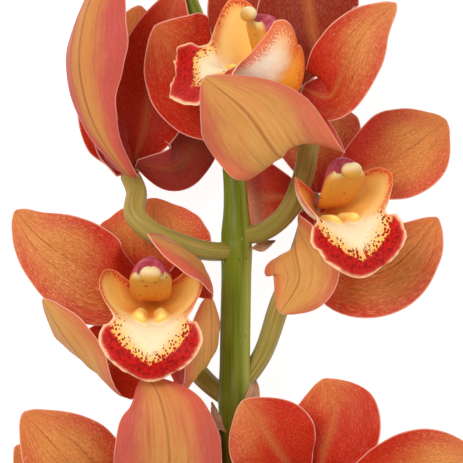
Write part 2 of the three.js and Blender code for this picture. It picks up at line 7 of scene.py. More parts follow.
import bpy
import numpy as np
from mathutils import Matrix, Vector


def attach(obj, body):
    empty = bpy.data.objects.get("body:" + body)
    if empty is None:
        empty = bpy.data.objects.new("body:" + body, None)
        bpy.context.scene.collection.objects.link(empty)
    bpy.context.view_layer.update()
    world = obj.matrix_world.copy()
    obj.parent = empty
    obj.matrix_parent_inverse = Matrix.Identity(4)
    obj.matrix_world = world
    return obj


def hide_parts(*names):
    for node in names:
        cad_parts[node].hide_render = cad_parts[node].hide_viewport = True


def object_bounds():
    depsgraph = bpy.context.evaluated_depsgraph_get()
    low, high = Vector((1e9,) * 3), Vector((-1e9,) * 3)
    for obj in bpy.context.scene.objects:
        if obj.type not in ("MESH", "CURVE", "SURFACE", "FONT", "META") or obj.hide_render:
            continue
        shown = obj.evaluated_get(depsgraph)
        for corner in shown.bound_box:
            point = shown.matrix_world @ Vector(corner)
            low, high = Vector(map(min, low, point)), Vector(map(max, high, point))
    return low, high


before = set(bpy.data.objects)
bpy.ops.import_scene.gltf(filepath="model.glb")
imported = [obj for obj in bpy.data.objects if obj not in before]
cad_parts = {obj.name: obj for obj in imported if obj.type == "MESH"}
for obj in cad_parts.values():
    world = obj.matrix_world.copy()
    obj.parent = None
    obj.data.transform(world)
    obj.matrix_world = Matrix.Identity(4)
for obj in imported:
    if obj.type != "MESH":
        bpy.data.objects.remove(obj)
cad_box = [[float(c) for c in corner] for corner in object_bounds()]

ORIGIN = np.array([-5.0121, 57.4376, 30.0426])  # where the grower's frame lies in the model, mm
INSIDE = np.array(cad_box) + [[4e-5], [-4e-5]]  # points are clipped to stay this far inside the model's box
FLOOR = -30.0
STEM_CUT_Y = -253.0
STEM_R_CUT = 5.4
STALK_RADIUS = [2.9, 3.2, 3.5, 3.6, 3.6, 3.2]  # from the stem to the flower
TEPAL_THICK, LIP_THICK, BRACT_THICK = 0.9, 0.95, 0.6
TEPAL_WAVE, BRACT_WAVE = 0.75, 0.3
POLE = 1e-3  # how far, of its full size, the last ring at a closed end is drawn together
CAMERA_HEIGHT = 1200  # over z = 0
VIEW_WIDTH = 152.79  # what the camera takes in at z = 0
SENSOR = 36
BLOOMS = (0, 0.05, 0.03)  # what the lights point at, in metres

# ---- Curves ---------------------------------------------------------------------------------


def unit(a):
    """Vectors divided by their own length."""
    return a / np.linalg.norm(a, axis=-1, keepdims=True)


def smooth(knots, t):
    """Cubic pieces through [x, y] knots, whose slopes are the knots' own gradients."""
    x, y = np.asarray(knots, float).T
    slopes = np.gradient(y, x)
    i = np.clip(np.searchsorted(x, t, side="right") - 1, 0, len(x) - 2)
    h = x[i + 1] - x[i]
    u = (t - x[i]) / h
    w = 1 - u
    return ((1 + 2 * u) * w * w * y[i] + u * w * w * h * slopes[i]
            + u * u * (3 - 2 * u) * y[i + 1] - u * u * w * h * slopes[i + 1])


def even(values, t):
    """A smooth function through values at equal steps of t."""
    return smooth(np.c_[np.linspace(0, 1, len(values)), values], t)


def through(points, t):
    """A smooth curve through points, by the fraction of the distance from point to point."""
    points = np.asarray(points, float)
    far = np.r_[0, np.cumsum(np.linalg.norm(np.diff(points, axis=0), axis=1))]
    return np.stack([smooth(np.c_[far / far[-1], points[:, c]], t) for c in range(3)], -1)


def step(x, low, high):
    """0 up to low and 1 from high on, or the other way round, with a smooth rise between."""
    u = np.clip((x - low) / (high - low), 0, 1)
    return u * u * (3 - 2 * u)


def crowded(n, ends=0.95):
    """-1 to 1 in n steps that are closer together towards both ends."""
    return np.sin(np.linspace(-1, 1, n) * np.pi / 2 * ends) / np.sin(np.pi / 2 * ends)


# ---- Meshes ---------------------------------------------------------------------------------


def piece(name, points, faces, finish, **fields):
    """A smooth mesh in place of the CAD node of the same name; fields are numbers per point."""
    mesh = bpy.data.meshes.new(name)
    mesh.vertices.add(len(points))
    mesh.vertices.foreach_set("co", np.clip((points + ORIGIN) / 1000, *INSIDE).ravel())
    faces = np.asarray(faces)
    mesh.loops.add(faces.size)
    mesh.loops.foreach_set("vertex_index", faces.ravel())
    mesh.polygons.add(len(faces))
    mesh.polygons.foreach_set("loop_start", np.arange(len(faces)) * 4)
    mesh.polygons.foreach_set("loop_total", np.full(len(faces), 4))
    mesh.update(calc_edges=True)
    mesh.validate(clean_customdata=False)
    mesh.polygons.foreach_set("use_smooth", np.ones(len(mesh.polygons), bool))
    for key, values in fields.items():
        layer = mesh.attributes.new(key, "FLOAT", "POINT")
        layer.data.foreach_set("value", np.broadcast_to(values, len(points)).astype(np.float32))
    mesh.materials.append(finish)
    thing = bpy.data.objects.new("fine_" + name, mesh)
    bpy.context.scene.collection.objects.link(thing)
    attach(thing, "root")
    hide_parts(name)
    return thing


def quads(index):
    """Quads between the neighbours of a grid of vertex numbers, rows first."""
    a, b, c, d = index[:-1, :-1], index[1:, :-1], index[1:, 1:], index[:-1, 1:]
    return np.stack([a, b, c, d], -1).reshape(-1, 4)


def sheet(name, grid, thick, finish, **fields):
    """A closed leaf round a grid of points: each face lies half of `thick` off along the grid's
    normal, and the two share the grid's border, where the thickness runs out."""
    m, n = grid.shape[:2]
    normal = unit(np.cross(np.gradient(grid, axis=0), np.gradient(grid, axis=1)))
    off = normal * thick[..., None] / 2
    off[[0, -1]] = 0
    off[:, [0, -1]] = 0
    front = np.arange(m * n).reshape(m, n)
    back = front.copy()
    back[1:-1, 1:-1] = m * n + np.arange((m - 2) * (n - 2)).reshape(m - 2, n - 2)
    points = np.vstack([(grid + off).reshape(-1, 3), (grid - off)[1:-1, 1:-1].reshape(-1, 3)])
    border = np.zeros((m, n))
    border[[0, -1]] = 1
    border[:, [0, -1]] = 1
    edge = grid[border > 0]
    flat = grid.reshape(-1, 3)
    rim = np.concatenate([np.sqrt(((rows[:, None] - edge[None]) ** 2).sum(-1)).min(1)
                          for rows in np.array_split(flat, 8)]).reshape(m, n)
    both = {"rim": rim, **fields}
    both = {key: np.r_[v.ravel(), v[1:-1, 1:-1].ravel()] for key, v in both.items()}
    both["inner"] = np.r_[1 - 0.5 * border.ravel(), np.zeros((m - 2) * (n - 2))]
    return piece(name, points, np.vstack([quads(front), quads(back)[:, ::-1]]), finish, **both)


def tube(name, rings, finish, **fields):
    """A skin over rings of points, shape (rings, points of a ring, 3). Smaller and smaller rings
    draw an end together, down to a pinhole. A flower stalk's first ring stays open, inside the stem."""
    m, n = rings.shape[:2]
    index = np.arange(m * n).reshape(m, n)
    index = np.c_[index, index[:, :1]]
    fields = {key: np.broadcast_to(v, (m, n)).ravel() for key, v in fields.items()}
    return piece(name, rings.reshape(-1, 3), quads(index)[:, ::-1], finish, **fields)


def rings_along(centre, across, up, wide, deep, angle):
    """Rings round a path: centre + across * wide * cos(angle) + up * deep * sin(angle)."""
    return (centre[:, None] + across[:, None] * (wide * np.cos(angle))[..., None]
            + up[:, None] * (deep * np.sin(angle))[..., None])


def carried(points, t):
    """The path at t with a side and an up direction carried along it without twisting."""
    centre = through(points, t)
    along = unit(through(points, np.minimum(t + 0.01, 1)) - through(points, np.maximum(t - 0.01, 0)))
    side = np.empty_like(along)
    side[0] = unit(np.cross(along[0], [0, 0, 1] if abs(along[0, 2]) < 0.9 else [1, 0, 0]))
    for i in range(1, len(t)):
        side[i] = unit(side[i - 1] - along[i] * (side[i - 1] @ along[i]))
    return centre, side, np.cross(along, side), along


# ---- Shader maths ---------------------------------------------------------------------------


def colour(code):
    """Linear red, green, blue and alpha from a six digit screen colour."""
    c = np.array([int(code[i:i + 2], 16) for i in (0, 2, 4)]) / 255
    return (*np.where(c <= 0.04045, c / 12.92, ((c + 0.055) / 1.055) ** 2.4), 1.0)


class Value:
    """One output inside a material, so that shader maths reads as Python."""

    def __init__(self, socket):
        self.socket = socket

    def node(self, kind, settings=None, inputs=None, output=0):
        """Adds a node: its settings first, then the values or links of its sockets."""
        tree = self.socket.id_data
        node = tree.nodes.new(kind)
        for key, value in (settings or {}).items():
            setattr(node, key, value)
        for key, value in (inputs or {}).items():
            if isinstance(value, Value):
                tree.links.new(value.socket, node.inputs[key])
            else:
                node.inputs[key].default_value = value
        return Value(node.outputs[output])

    def math(self, operation, *values):
        """A Math node over numbers and values."""
        return self.node("ShaderNodeMath", {"operation": operation}, dict(enumerate(values)))

    def __add__(self, other):
        return self.math("ADD", self, other)

    def __sub__(self, other):
        return self.math("SUBTRACT", self, other)

    def __rsub__(self, other):
        return self.math("SUBTRACT", other, self)

    def __mul__(self, other):
        return self.math("MULTIPLY", self, other)

    def __pow__(self, other):
        return self.math("POWER", self, other)

    __radd__ = __add__
    __rmul__ = __mul__

    def __abs__(self):
        return self.math("ABSOLUTE", self)

    def cos(self):
        """Cosine of this value in radians."""
        return self.math("COSINE", self)

    def over(self, other):
        """The greater of two values."""
        return self.math("MAXIMUM", self, other)

    def step(self, low, high):
        """Smoothly 0 at low and 1 at high."""
        return self.node("ShaderNodeMapRange", {"interpolation_type": "SMOOTHSTEP"},
                         {0: self, 1: low, 2: high})

    def part(self, axis):
        """One coordinate of this vector: 0, 1 or 2."""
        return self.node("ShaderNodeSeparateXYZ", None, {0: self}, axis)

    def vector(self, x, y, z):
        """A vector of three values."""
        return self.node("ShaderNodeCombineXYZ", None, {0: x, 1: y, 2: z})

    def noise(self, scale=1.0, detail=3.0, rough=0.5):
        """Noise from 0 to 1 over this vector."""
        return self.node("ShaderNodeTexNoise", None,
                         {"Vector": self, "Scale": scale, "Detail": detail, "Roughness": rough})

    def cells(self, scale=1.0, output=0, spread=1.0):
        """Distance from the nearest of scattered points, or with output 1 that point's colour."""
        return self.node("ShaderNodeTexVoronoi", None,
                         {"Vector": self, "Scale": scale, "Randomness": spread}, output)

    def blend(self, a, b, how="MIX"):
        """Colour a where this is 0 and colour b where it is 1."""
        return self.node("ShaderNodeMix", {"data_type": "RGBA", "blend_type": how},
                         {0: self, 6: a, 7: b}, 2)


class Finish:
    """A material in the making: fields of the mesh, and the surface they end in."""

    def __init__(self, name):
        self.material = bpy.data.materials.new(name)
        self.material.use_nodes = True
        self.tree = self.material.node_tree
        self.surface = self.tree.nodes["Principled BSDF"]
        self.any = Value(self.surface.outputs[0])

    def field(self, name):
        """A number kept per point of the mesh."""
        return self.any.node("ShaderNodeAttribute", {"attribute_name": name}, None, 2)

    def place(self):
        """Object coordinates in millimetres."""
        at = self.any.node("ShaderNodeTexCoord", None, None, 3)
        return at.node("ShaderNodeVectorMath", {"operation": "SCALE"}, {0: at, 3: 1000.0})

    def done(self, base, rough, relief=None, **fixed):
        """Joins colour, roughness and relief in millimetres to the surface; fixed are its numbers."""
        links = self.tree.links
        links.new(base.socket, self.surface.inputs["Base Color"])
        if isinstance(rough, Value):
            links.new(rough.socket, self.surface.inputs["Roughness"])
        else:
            self.surface.inputs["Roughness"].default_value = rough
        if relief:
            bump = relief.node("ShaderNodeBump", None, {"Distance": 0.001, "Height": relief})
            links.new(bump.socket, self.surface.inputs["Normal"])
        for key, value in fixed.items():
            self.surface.inputs[key.replace("_", " ")].default_value = value
        return self.material


FLESH = {"Subsurface_Weight": 0.2, "Subsurface_Radius": (1.0, 0.35, 0.15), "Subsurface_Scale": 0.0016,
         "Specular_IOR_Level": 0.12}


def tepal_finish():
    """Waxy petal. The inner face runs from deep red at the root to golden brown, then orange at the
    tip, between rose margins, all finely grained; the outer face is tan between rose margins. Veins
    run along both, and the edge is a pale line. Two fields give the spread of red; at their high ends
    they also paint shade, a dark brown-red, on blades that lie in shade."""
    f = Finish("tepal_rose_and_gold")
    t, v, rim, inner, seed = (f.field(k) for k in ("along", "across", "rim", "inner", "seed"))
    deep, blush, above = (f.field(k) for k in ("deep", "blush", "above"))
    cloud = f.any.vector(v * 2.2, t * 3.0, seed).noise(1.6, 4, 0.6)
    fibre = f.any.vector(v * 24, t * 6.0, seed).noise(1.0, 3, 0.6)
    grain = f.any.vector(v * 60, t * 46.0, seed).noise(1.0, 3, 0.7)
    bent = v + (cloud - 0.5) * 0.14
    strength = f.any.vector(v * 7, t * 4.0, seed + 4).noise(1.0, 2).step(0.35, 0.65) * t.step(1.0, 0.8)
    veins = ((bent * (np.pi * 6)).cos() * 0.5 + 0.5) ** 14.0 * abs(bent).step(0.92, 0.5) * strength
    fine = ((bent * (np.pi * 17)).cos() * 0.5 + 0.5) ** 4.0 * cloud.step(0.35, 0.65)
    midrib = abs(v).step(0.045, 0.0)
    # inner face
    wander = (cloud - 0.5) * 0.3
    gold = (t + wander).step(0.3, 0.85).blend(colour("c45a24"), colour("e6984e"))
    gold = fibre.step(0.3, 0.7).blend(gold, colour("cf7c3c"))
    margin = (rim + (fibre - 0.5) * 4).step(9.0, 0.8) * (1 - (t + wander).step(0.72, 0.98) * 0.65)
    inside = (margin * 0.85).blend(gold, colour("cc4636"))
    # red spreads from the root as far as deep says; on the enclosed flowers it covers most of the blade,
    # partly the tepal's own red and partly painted shade
    red = (t + wander - above * 0.28).step(deep * 0.85 + 0.28, deep * 0.62 - 0.1)
    crimson = (t + wander).step(0.0, 0.4).blend(colour("a60d05"), colour("c1230f"))
    # painted shade: where deep is over 1.25 the red darkens to brown-red, for blades that lie in shade
    crimson = (deep.step(1.25, 1.8) * 0.8).blend(crimson, colour("781a08"))
    inside = (red * 0.96).blend(inside, crimson)
    inside = (abs(v + wander * 0.1).step(0.2, 0.02) * red * 0.5).blend(inside, colour("c8703a"))
    inside = (midrib * 0.25).blend(inside, colour("e0884a"))
    inside = ((veins * 0.4 + fine * 0.22) * (1 - red * 0.6)).blend(inside, colour("96280e"))
    inside = (grain.step(0.48, 0.7) * (0.62 - 0.45 * red)).blend(inside, colour("f4bc74"))
    inside = (grain.step(0.46, 0.25) * 0.4).blend(inside, colour("92260c"))
    # outer face
    patch = f.any.vector(v * 1.3, t * 2.2, seed + 9).noise(1.0, 3)
    body = patch.step(0.38, 0.62).blend(colour("ce9846"), colour("e09450"))
    body = fibre.step(0.3, 0.7).blend(body, colour("dea45a"))
    body = (blush * 0.55).blend(body, colour("c4703c"))
    flush = (abs(v) + (cloud - 0.5) * 0.9 + blush * 0.35 + t.step(0.35, 0.05) * 0.3).step(0.34, 1.0)
    rose = patch.step(0.35, 0.65).blend(colour("c64c4c"), colour("d85c48"))
    outside = (flush * (blush * 0.3 + 0.66)).blend(body, rose)
    # painted shade: past 0.9 on the rosy field the outer face darkens to deep red, for blades that lie in
    # shade
    outside = (blush.step(0.9, 1.5) * 0.8).blend(outside, colour("861e10"))
    outside = (veins * 0.34 + fine * 0.2).blend(outside, colour("a8482c"))
    outside = (midrib * 0.42).blend(outside, colour("8c4426"))
    outside = (grain.step(0.5, 0.8) * 0.18).blend(outside, colour("f2c890"))
    both = inner.step(0.35, 0.65).blend(outside, inside)
    both = ((rim + (grain - 0.5) * 0.2).step(0.55, 0.15) * 0.75).blend(both, colour("f2b09c"))
    relief = veins * -0.05 + fine * -0.015 + midrib * -0.10 + grain * 0.02 + cloud * 0.15
    return f.done(both, 0.42 + fibre * 0.14, relief, **FLESH)


def lip_finish():
    """Cream disc, scattered maroon spots that run together into a crimson band, pale peach rim;
    orange side lobes with a red stippled edge and yellow keels. The field disc is how far, in mm,
    a point lies outside the cream disc."""
    f = Finish("lip_cream_and_crimson")
    t, v, rim, inner, seed = (f.field(k) for k in ("along", "across", "rim", "inner", "seed"))
    x, y, crest, disc, shut = (f.field(k) for k in ("out", "up", "crest", "disc", "shut"))
    at = f.any.vector(x, y, seed)
    cloud = at.noise(0.25, 4, 0.6)
    grain = at.noise(2.2, 3, 0.65)
    lobe = t.step(0.43, 0.52)
    ragged = disc + (cloud - 0.5) * 3.4
    edge = rim + (cloud - 0.5) * 1.3
    dots_at = f.any.vector(x, y * 0.9, seed * 7)
    near = dots_at.cells(1.15)
    pick = dots_at.cells(1.15, 1).part(0)
    tiny = at.cells(2.4)
    # cream disc, turning orange towards the band
    ground = (ragged + grain * 1.6).step(-7.5, 0.4).blend(colour("f2dcb2"), colour("f2b860"))
    ground = (t.step(0.72, 0.88) * 0.75).blend(ground, colour("f0b058"))
    # throat and side lobes
    side = (abs(v) + (cloud - 0.5) * 0.2).step(0.15, 0.55)
    throat = t.step(0.02, 0.3).blend(colour("c8701c"), side.blend(colour("e8982e"), colour("f4bc5c")))
    throat = t.step(0.26, 0.5).blend(throat, side.blend(colour("f6e2b0"), colour("f6cc80")))
    throat = (edge.step(5.0, 0.6) * side * 0.7).blend(throat, colour("dc7434"))
    ground = lobe.blend(throat, ground)
    # spots that grow until they meet, and the band they make
    size = ragged.step(-8.5, 0.8)
    dots = ((size * 0.4 + 0.16 - near).step(0.0, 0.1)
            * (pick - size.step(0.8, 0.0) * 0.74).step(0.0, 0.02))
    drips = (f.any.vector(x * 1.3, y * 0.16, seed + 3).noise(1.0, 3, 0.6).step(0.53, 0.6)
             * (abs(x) + grain * 2).step(5.5, 3.0) * (t + (cloud - 0.5) * 0.3).step(0.73, 0.78))
    marks = dots.over((ragged + grain * 1.4).step(0.2, 1.4)).over(drips) * lobe
    teeth = f.any.vector(y * 2.4, x * 0.6, seed).noise(1.0, 2)
    stipple = (edge.step(4.2, 0.7) * 0.62 - tiny * 0.9).step(0.0, 0.12).over(
        (edge + teeth * 1.6).step(1.8, 1.2))
    marks = marks.over(stipple * (1 - lobe) * side * 0.9)
    blotch = at.noise(0.9, 3, 0.6)
    crimson = blotch.step(0.35, 0.62).blend(colour("8a0808"), colour("c4140e"))
    crimson = (grain.step(0.5, 0.75) * 0.6).blend(crimson, colour("d43a24"))
    crimson = (edge.step(3.2, 1.2) * 0.5).blend(crimson, colour("c8342c"))
    crimson = (size.step(0.97, 0.6) * (1 - drips)).blend(crimson, colour("74140e"))
    crimson = lobe.blend(colour("c83c1c"), crimson)
    upper = marks.blend(ground, crimson)
    upper = (edge.step(1.7, 0.4) * lobe).blend(
        upper, edge.step(1.5, 0.3).blend(colour("dc7c54"), colour("f2c096")))
    upper = ((1 - lobe) * edge.step(0.8, 0.4) * 0.75).blend(upper, colour("ea8c58"))
    upper = (crest.step(0.05, 0.3) * 0.95).blend(
        upper, crest.step(0.3, 0.9).blend(colour("f4c458"), colour("ffe884")))
    # under and outer face
    skin = (t + (cloud - 0.5) * 0.2).step(0.2, 0.4).blend(colour("f09a28"), colour("fff6dc"))
    skin = (abs(v).step(0.5, 0.95) * (1 - lobe) * 0.8).blend(skin, colour("f0963e"))
    skin = lobe.blend(skin, colour("e8a878"))
    fleck = (edge.step(9.5, 1.0) * 0.74 - tiny * 0.9).step(0.0, 0.2).over(edge.step(2.0, 1.2))
    skin = (fleck * 0.7).blend(skin, colour("d84820"))
    skin = rim.step(0.6, 0.25).blend(skin, colour("f0a07c"))
    # painted shade: a lip shut inside its flower gets a dark red under face, as it lies in shade
    skin = shut.blend(skin, colour("8c1a0e"))
    both = inner.step(0.35, 0.65).blend(skin, upper)
    both = (grain.step(0.5, 0.8) * 0.1 * (1 - marks)).blend(both, colour("fff0d0"))
    relief = grain * 0.05 + cloud * 0.4 - marks * 0.03
    # painted light: the lip glows faintly in its own colours, standing in for light through its flesh and
    # brightening its shaded lobes
    f.tree.links.new(both.socket, f.surface.inputs["Emission Color"])
    return f.done(both, 0.40 + grain * 0.12, relief, Emission_Strength=0.15, **FLESH)


def column_finish():
    """Magenta-pink back, orange underside with a few dark flecks, pale yellow edge at the tip."""
    f = Finish("column_pink_and_orange")
    t, back = f.field("along"), f.field("back")
    place = f.place()
    cloud = place.noise(0.35, 3)
    grain = place.noise(2.2, 3)
    pink = cloud.step(0.3, 0.7).blend(colour("b43a4e"), colour("cc6270"))
    under = t.step(0.25, 0.9).blend(colour("cf6f1a"), colour("e09a3c"))
    under = t.step(0.9, 0.99).blend(under, colour("efd08a"))
    flecks = (0.26 - place.cells(0.7)).step(0.0, 0.06) * (place.cells(0.7, 1).part(1)).step(0.66, 0.7)
    under = (flecks * 0.9).blend(under, colour("4a160c"))
    both = (back + (cloud - 0.5) * 0.2).step(0.05, 0.22).blend(under, pink)
    both = (grain.step(0.5, 0.8) * 0.15).blend(both, colour("f2b9a0"))
    return f.done(both, 0.36 + grain * 0.1, grain * 0.05, **FLESH)


def cap_finish():
    """Cream cap, yellower underneath."""
    f = Finish("anther_cap_cream")
    place = f.place()
    low = f.field("low")
    grain = place.noise(1.4, 4)
    both = (low.step(0.0, 0.8) * 0.95).blend(colour("f0d8a4"), colour("d4922c"))
    both = (grain * 0.2).blend(both, colour("fff6e4"), "SOFT_LIGHT")
    return f.done(both, 0.4 + grain * 0.1, grain * 0.06, **FLESH)


def stalk_finish():
    """Flower stalk: olive with soft tan and brown bands along it, greener towards the stem."""
    f = Finish("flower_stalk_olive")
    t, rib, seed = f.field("along"), f.field("rib"), f.field("seed")
    place = f.place()
    streak = f.any.vector(f.field("turn_x") * 2.5, f.field("turn_y") * 2.5, t * 2 + seed).noise(1.6, 3, 0.6)
    hair = f.any.vector(f.field("turn_x") * 14, f.field("turn_y") * 14, t * 5 + seed).noise(1.0, 3, 0.6)
    ground = t.step(0.0, 0.8).blend(colour("7f8030"), colour("a8954a"))
    ground = (streak.step(0.5, 0.68) * 0.7).blend(ground, colour("c6a462"))
    ground = (streak.step(0.48, 0.32) * 0.6).blend(ground, colour("7c5f26"))
    ground = (rib * 0.2).blend(ground, colour("b8975e"))
    ground = ((hair - 0.5) * 0.4 + 0.2).blend(ground, colour("86712f"))
    both = (place.noise(1.6, 3) * 0.3).blend(ground, colour("ffe9b0"), "SOFT_LIGHT")
    return f.done(both, 0.26 + streak * 0.14, hair * 0.05, Specular_IOR_Level=0.16,
                  Subsurface_Weight=0.1, Subsurface_Radius=(0.8, 0.6, 0.2), Subsurface_Scale=0.0015)


def stem_finish():
    """Stem: olive green with long soft streaks, browner towards the cut, dark flecks, pale scars that are
    partly painted glints, and one side painted lighter as if lit.
    """
    f = Finish("stem_green")
    t, knot, cut = f.field("along"), f.field("knot"), f.field("cut")
    tx, ty = f.field("turn_x"), f.field("turn_y")
    place = f.place()
    length = place.part(1)
    streak = f.any.vector(tx * 7, ty * 7, length * 0.03).noise(1.5, 4, 0.6)
    cloud = f.any.vector(tx * 1.2, ty * 1.2, length * 0.02).noise(1.6, 3)
    ground = length.step(-120.0, 60.0).blend(colour("5c580e"), colour("68740e"))
    ground = (streak.step(0.4, 0.7) * 0.5).blend(ground, colour("8c9434"))
    ground = (cloud.step(0.45, 0.75) * 0.5).blend(ground, colour("8a862e"))
    ground = (cloud.step(0.5, 0.25) * 0.5).blend(ground, colour("40480a"))
    # painted light: one side of the stem is painted lighter yellow-green, as if lit from that side
    ground = (tx.step(0.3, 0.85) * 0.65).blend(ground, colour("b4b454"))
    ground = ((tx + streak * 0.3).step(-0.55, -0.8) * length.step(0.0, -60.0) * 0.75).blend(
        ground, colour("4c2a0c"))
    ground = (knot * streak.step(0.45, 0.7) * 0.55).blend(ground, colour("5d4a18"))
    flecks = (0.17 - place.cells(0.42)).step(0.0, 0.1) * place.cells(0.42, 1).part(0).step(0.8, 0.86)
    ground = (flecks * 0.8).blend(ground, colour("2e2410"))
    # pale marks near the stalk joints: partly scars and partly painted highlights
    long = f.any.vector(place.part(0) * 1.1, length * 0.33, place.part(2) * 1.1)
    scars_and_glints = (0.2 - long.cells(0.6)).step(0.0, 0.08) * long.cells(0.6, 1).part(0).step(0.86, 0.9)
    ground = (scars_and_glints * knot.step(0.05, 0.5)).blend(ground, colour("e4e2c4"))
    pith = (0.32 - place.cells(1.5)).step(0.0, 0.12)
    flesh = (pith * 0.6).blend(colour("b9bd84"), colour("7d8a46"))
    both = cut.blend(ground, flesh)
    relief = streak * 0.06 + cut * pith * 0.08 + knot * place.noise(0.8, 4) * 0.15
    return f.done(both, 0.22 + streak * 0.12 + cut * 0.3, relief, Specular_IOR_Level=0.1,
                  Subsurface_Weight=0.1, Subsurface_Radius=(0.5, 0.9, 0.2), Subsurface_Scale=0.0015)


def bud_finish():
    """Closed bud: olive stalk, ochre sepals flushed red along their seams, parallel veins."""
    f = Finish("bud_olive_and_rose")
    t, seam = f.field("along"), f.field("seam")
    place = f.place()
    cloud = place.noise(0.2, 4)
    veins = ((f.field("angle") * 12 + cloud).cos() * 0.5 + 0.5) ** 7.0
    ground = t.step(0.35, 0.6).blend(colour("767c30"), colour("b58645"))
    ground = ((cloud + seam * 0.5).step(0.45, 0.9) * t.step(0.45, 0.7)).blend(ground, colour("ad4c3a"))
    ground = (veins * 0.25 * t.step(0.5, 0.65)).blend(ground, colour("74391f"))
    ground = (seam * 0.5 * t.step(0.5, 0.6)).blend(ground, colour("6a251a"))
    both = (place.noise(1.4, 3) * 0.3).blend(ground, colour("ffe3b0"), "SOFT_LIGHT")
    return f.done(both, 0.4, veins * -0.05 + cloud * 0.3, **FLESH)


def bract_finish():
    """Dry papery scale: pinkish straw with brown fibres and a darker tip."""
    f = Finish("bract_straw")
    t, v, seed = f.field("along"), f.field("across"), f.field("seed")
    fibre = f.any.vector(v * 14, t * 3, seed).noise(1.0, 4, 0.65)
    ground = fibre.step(0.3, 0.7).blend(colour("a87352"), colour("d3ab84"))
    ground = (t + fibre * 0.3).step(0.9, 1.2).blend(ground, colour("7b4a30"))
    return f.done(ground, 0.6, fibre * 0.1, Specular_IOR_Level=0.35)


# ---- Forms ----------------------------------------------------------------------------------
SEPAL = [(0, .12), (.08, .24), (.2, .54), (.36, .88), (.5, 1), (.66, .93), (.8, .7), (.91, .4),
         (.97, .19), (1, .04)]
PETAL = [(0, .12), (.08, .22), (.22, .52), (.4, .86), (.56, 1), (.71, .92), (.84, .66), (.93, .37),
         (.98, .17), (1, .04)]
ROOTS = {  # where a blade starts: angle round the flower, distance out, height
    "sepal_dorsal": (90, 3, 0), "petal_left": (150, 3.5, 1.5), "petal_right": (30, 3.5, 1.5),
    "sepal_left": (208, 3.2, 0), "sepal_right": (332, 3.2, 0)}


def blade(path, inner, width, cup, outline, t, v, sweep=(0, 0), late=1, wave=0.0, phase=0.0):
    """A blade on its midrib: at t along it and v across it the point lies on an arc of half angle
    cup and half width width / 2 * outline(t^late) round the way the inner face looks, drawn back
    along the midrib by sweep * v^2 sin(pi t), with a groove down the middle, long low folds and
    margins that wave by `wave`."""
    fine = np.linspace(0, 1, 241)
    mid = through(path, fine)
    along = unit(np.gradient(mid, axis=0))
    looks = unit(np.stack([even(unit(np.asarray(inner, float))[:, c], fine) for c in range(3)], -1))
    looks = unit(looks - along * (looks * along).sum(1, keepdims=True))
    side = np.cross(looks, along)
    at = lambda a: np.stack([np.interp(t, fine, a[:, c]) for c in range(3)], -1)
    half = width / 2 * smooth(outline, t ** late)
    phi = np.radians(even(cup, t))
    T, V = np.meshgrid(t, v, indexing="ij")
    radius = (half / phi)[:, None]
    lift = radius * (1 - np.cos(phi[:, None] * V)) - 0.5 * np.exp(-(V / 0.12) ** 2) * np.sin(np.pi * T)
    body = np.sin(np.pi * T) ** 0.7
    lift = lift - 0.05 * body * np.cos(2 * np.pi * 3 * V) * (1 - V * V)
    lift = lift + wave * body * np.abs(V) ** 3 * (
        np.sin(2 * np.pi * (2.3 * T + phase) + 1.9 * np.sign(V))
        + 0.35 * np.sin(2 * np.pi * (6.1 * T - 2 * phase) + np.sign(V)))
    back = np.where(V < 0, sweep[0], sweep[1]) * V * V * np.sin(np.pi * T)
    return (at(mid)[:, None] + unit(at(side))[:, None] * (radius * np.sin(phi[:, None] * V))[..., None]
            + unit(at(looks))[:, None] * lift[..., None] - at(along)[:, None] * back[..., None]), T, V


def leaf_thickness(T, V, thick):
    """Full thickness along the midrib, thinner outwards, rounded off at every border."""
    return (thick * (1 - 0.35 * np.abs(V)) * np.sqrt(np.clip(1 - np.abs(V) ** 12, 0, 1))
            * np.sqrt(np.clip(1 - np.abs(2 * T - 1) ** 40, 0, 1)))


OPEN_LIP = dict(path=[(-3.8, 1.6), (-8, 10), (-9.5, 20), (-13, 27), (-20.5, 30.5), (-28.5, 28.5)],
                narrow=1, tall=1, curl=1, lean=2, front=1)
TALL_LIP = dict(path=[(-3.8, 1.6), (-8.6, 10), (-10.4, 20), (-14.4, 29), (-20.8, 29), (-30.8, 32.6)],
                narrow=1, tall=1.22, curl=1.16, lean=8, front=1.33, full=2.9)
SHUT_LIP = dict(path=[(-3.8, 1.6), (-5.8, 8), (-6.2, 15), (-6.6, 20.5), (-7.5, 25), (-9, 29)],
                narrow=0.4, tall=1, curl=1, lean=0, front=0.6)
LIP_HALF = [(0, 3), (.08, 10.5), (.2, 20), (.28, 24), (.36, 25), (.42, 23), (.47, 17.5), (.51, 13.4),
            (.58, 15.4), (.66, 16.9), (.78, 14.8), (.88, 10.8), (.95, 6.5), (.985, 3.4), (1, .9)]
LIP_CURL = [(0, 80), (.08, 118), (.2, 112), (.3, 100), (.38, 88), (.44, 70), (.5, 45), (.56, 30),
            (.64, 15), (.8, 5), (1, -25)]
DISC = [(0, 13), (.42, 13.5), (.5, 14.5), (.6, 13), (.66, 11), (.73, 8.2), (.8, 4.6), (.85, 1),
        (.88, -1), (1, -5)]  # half width of the cream disc along the lip


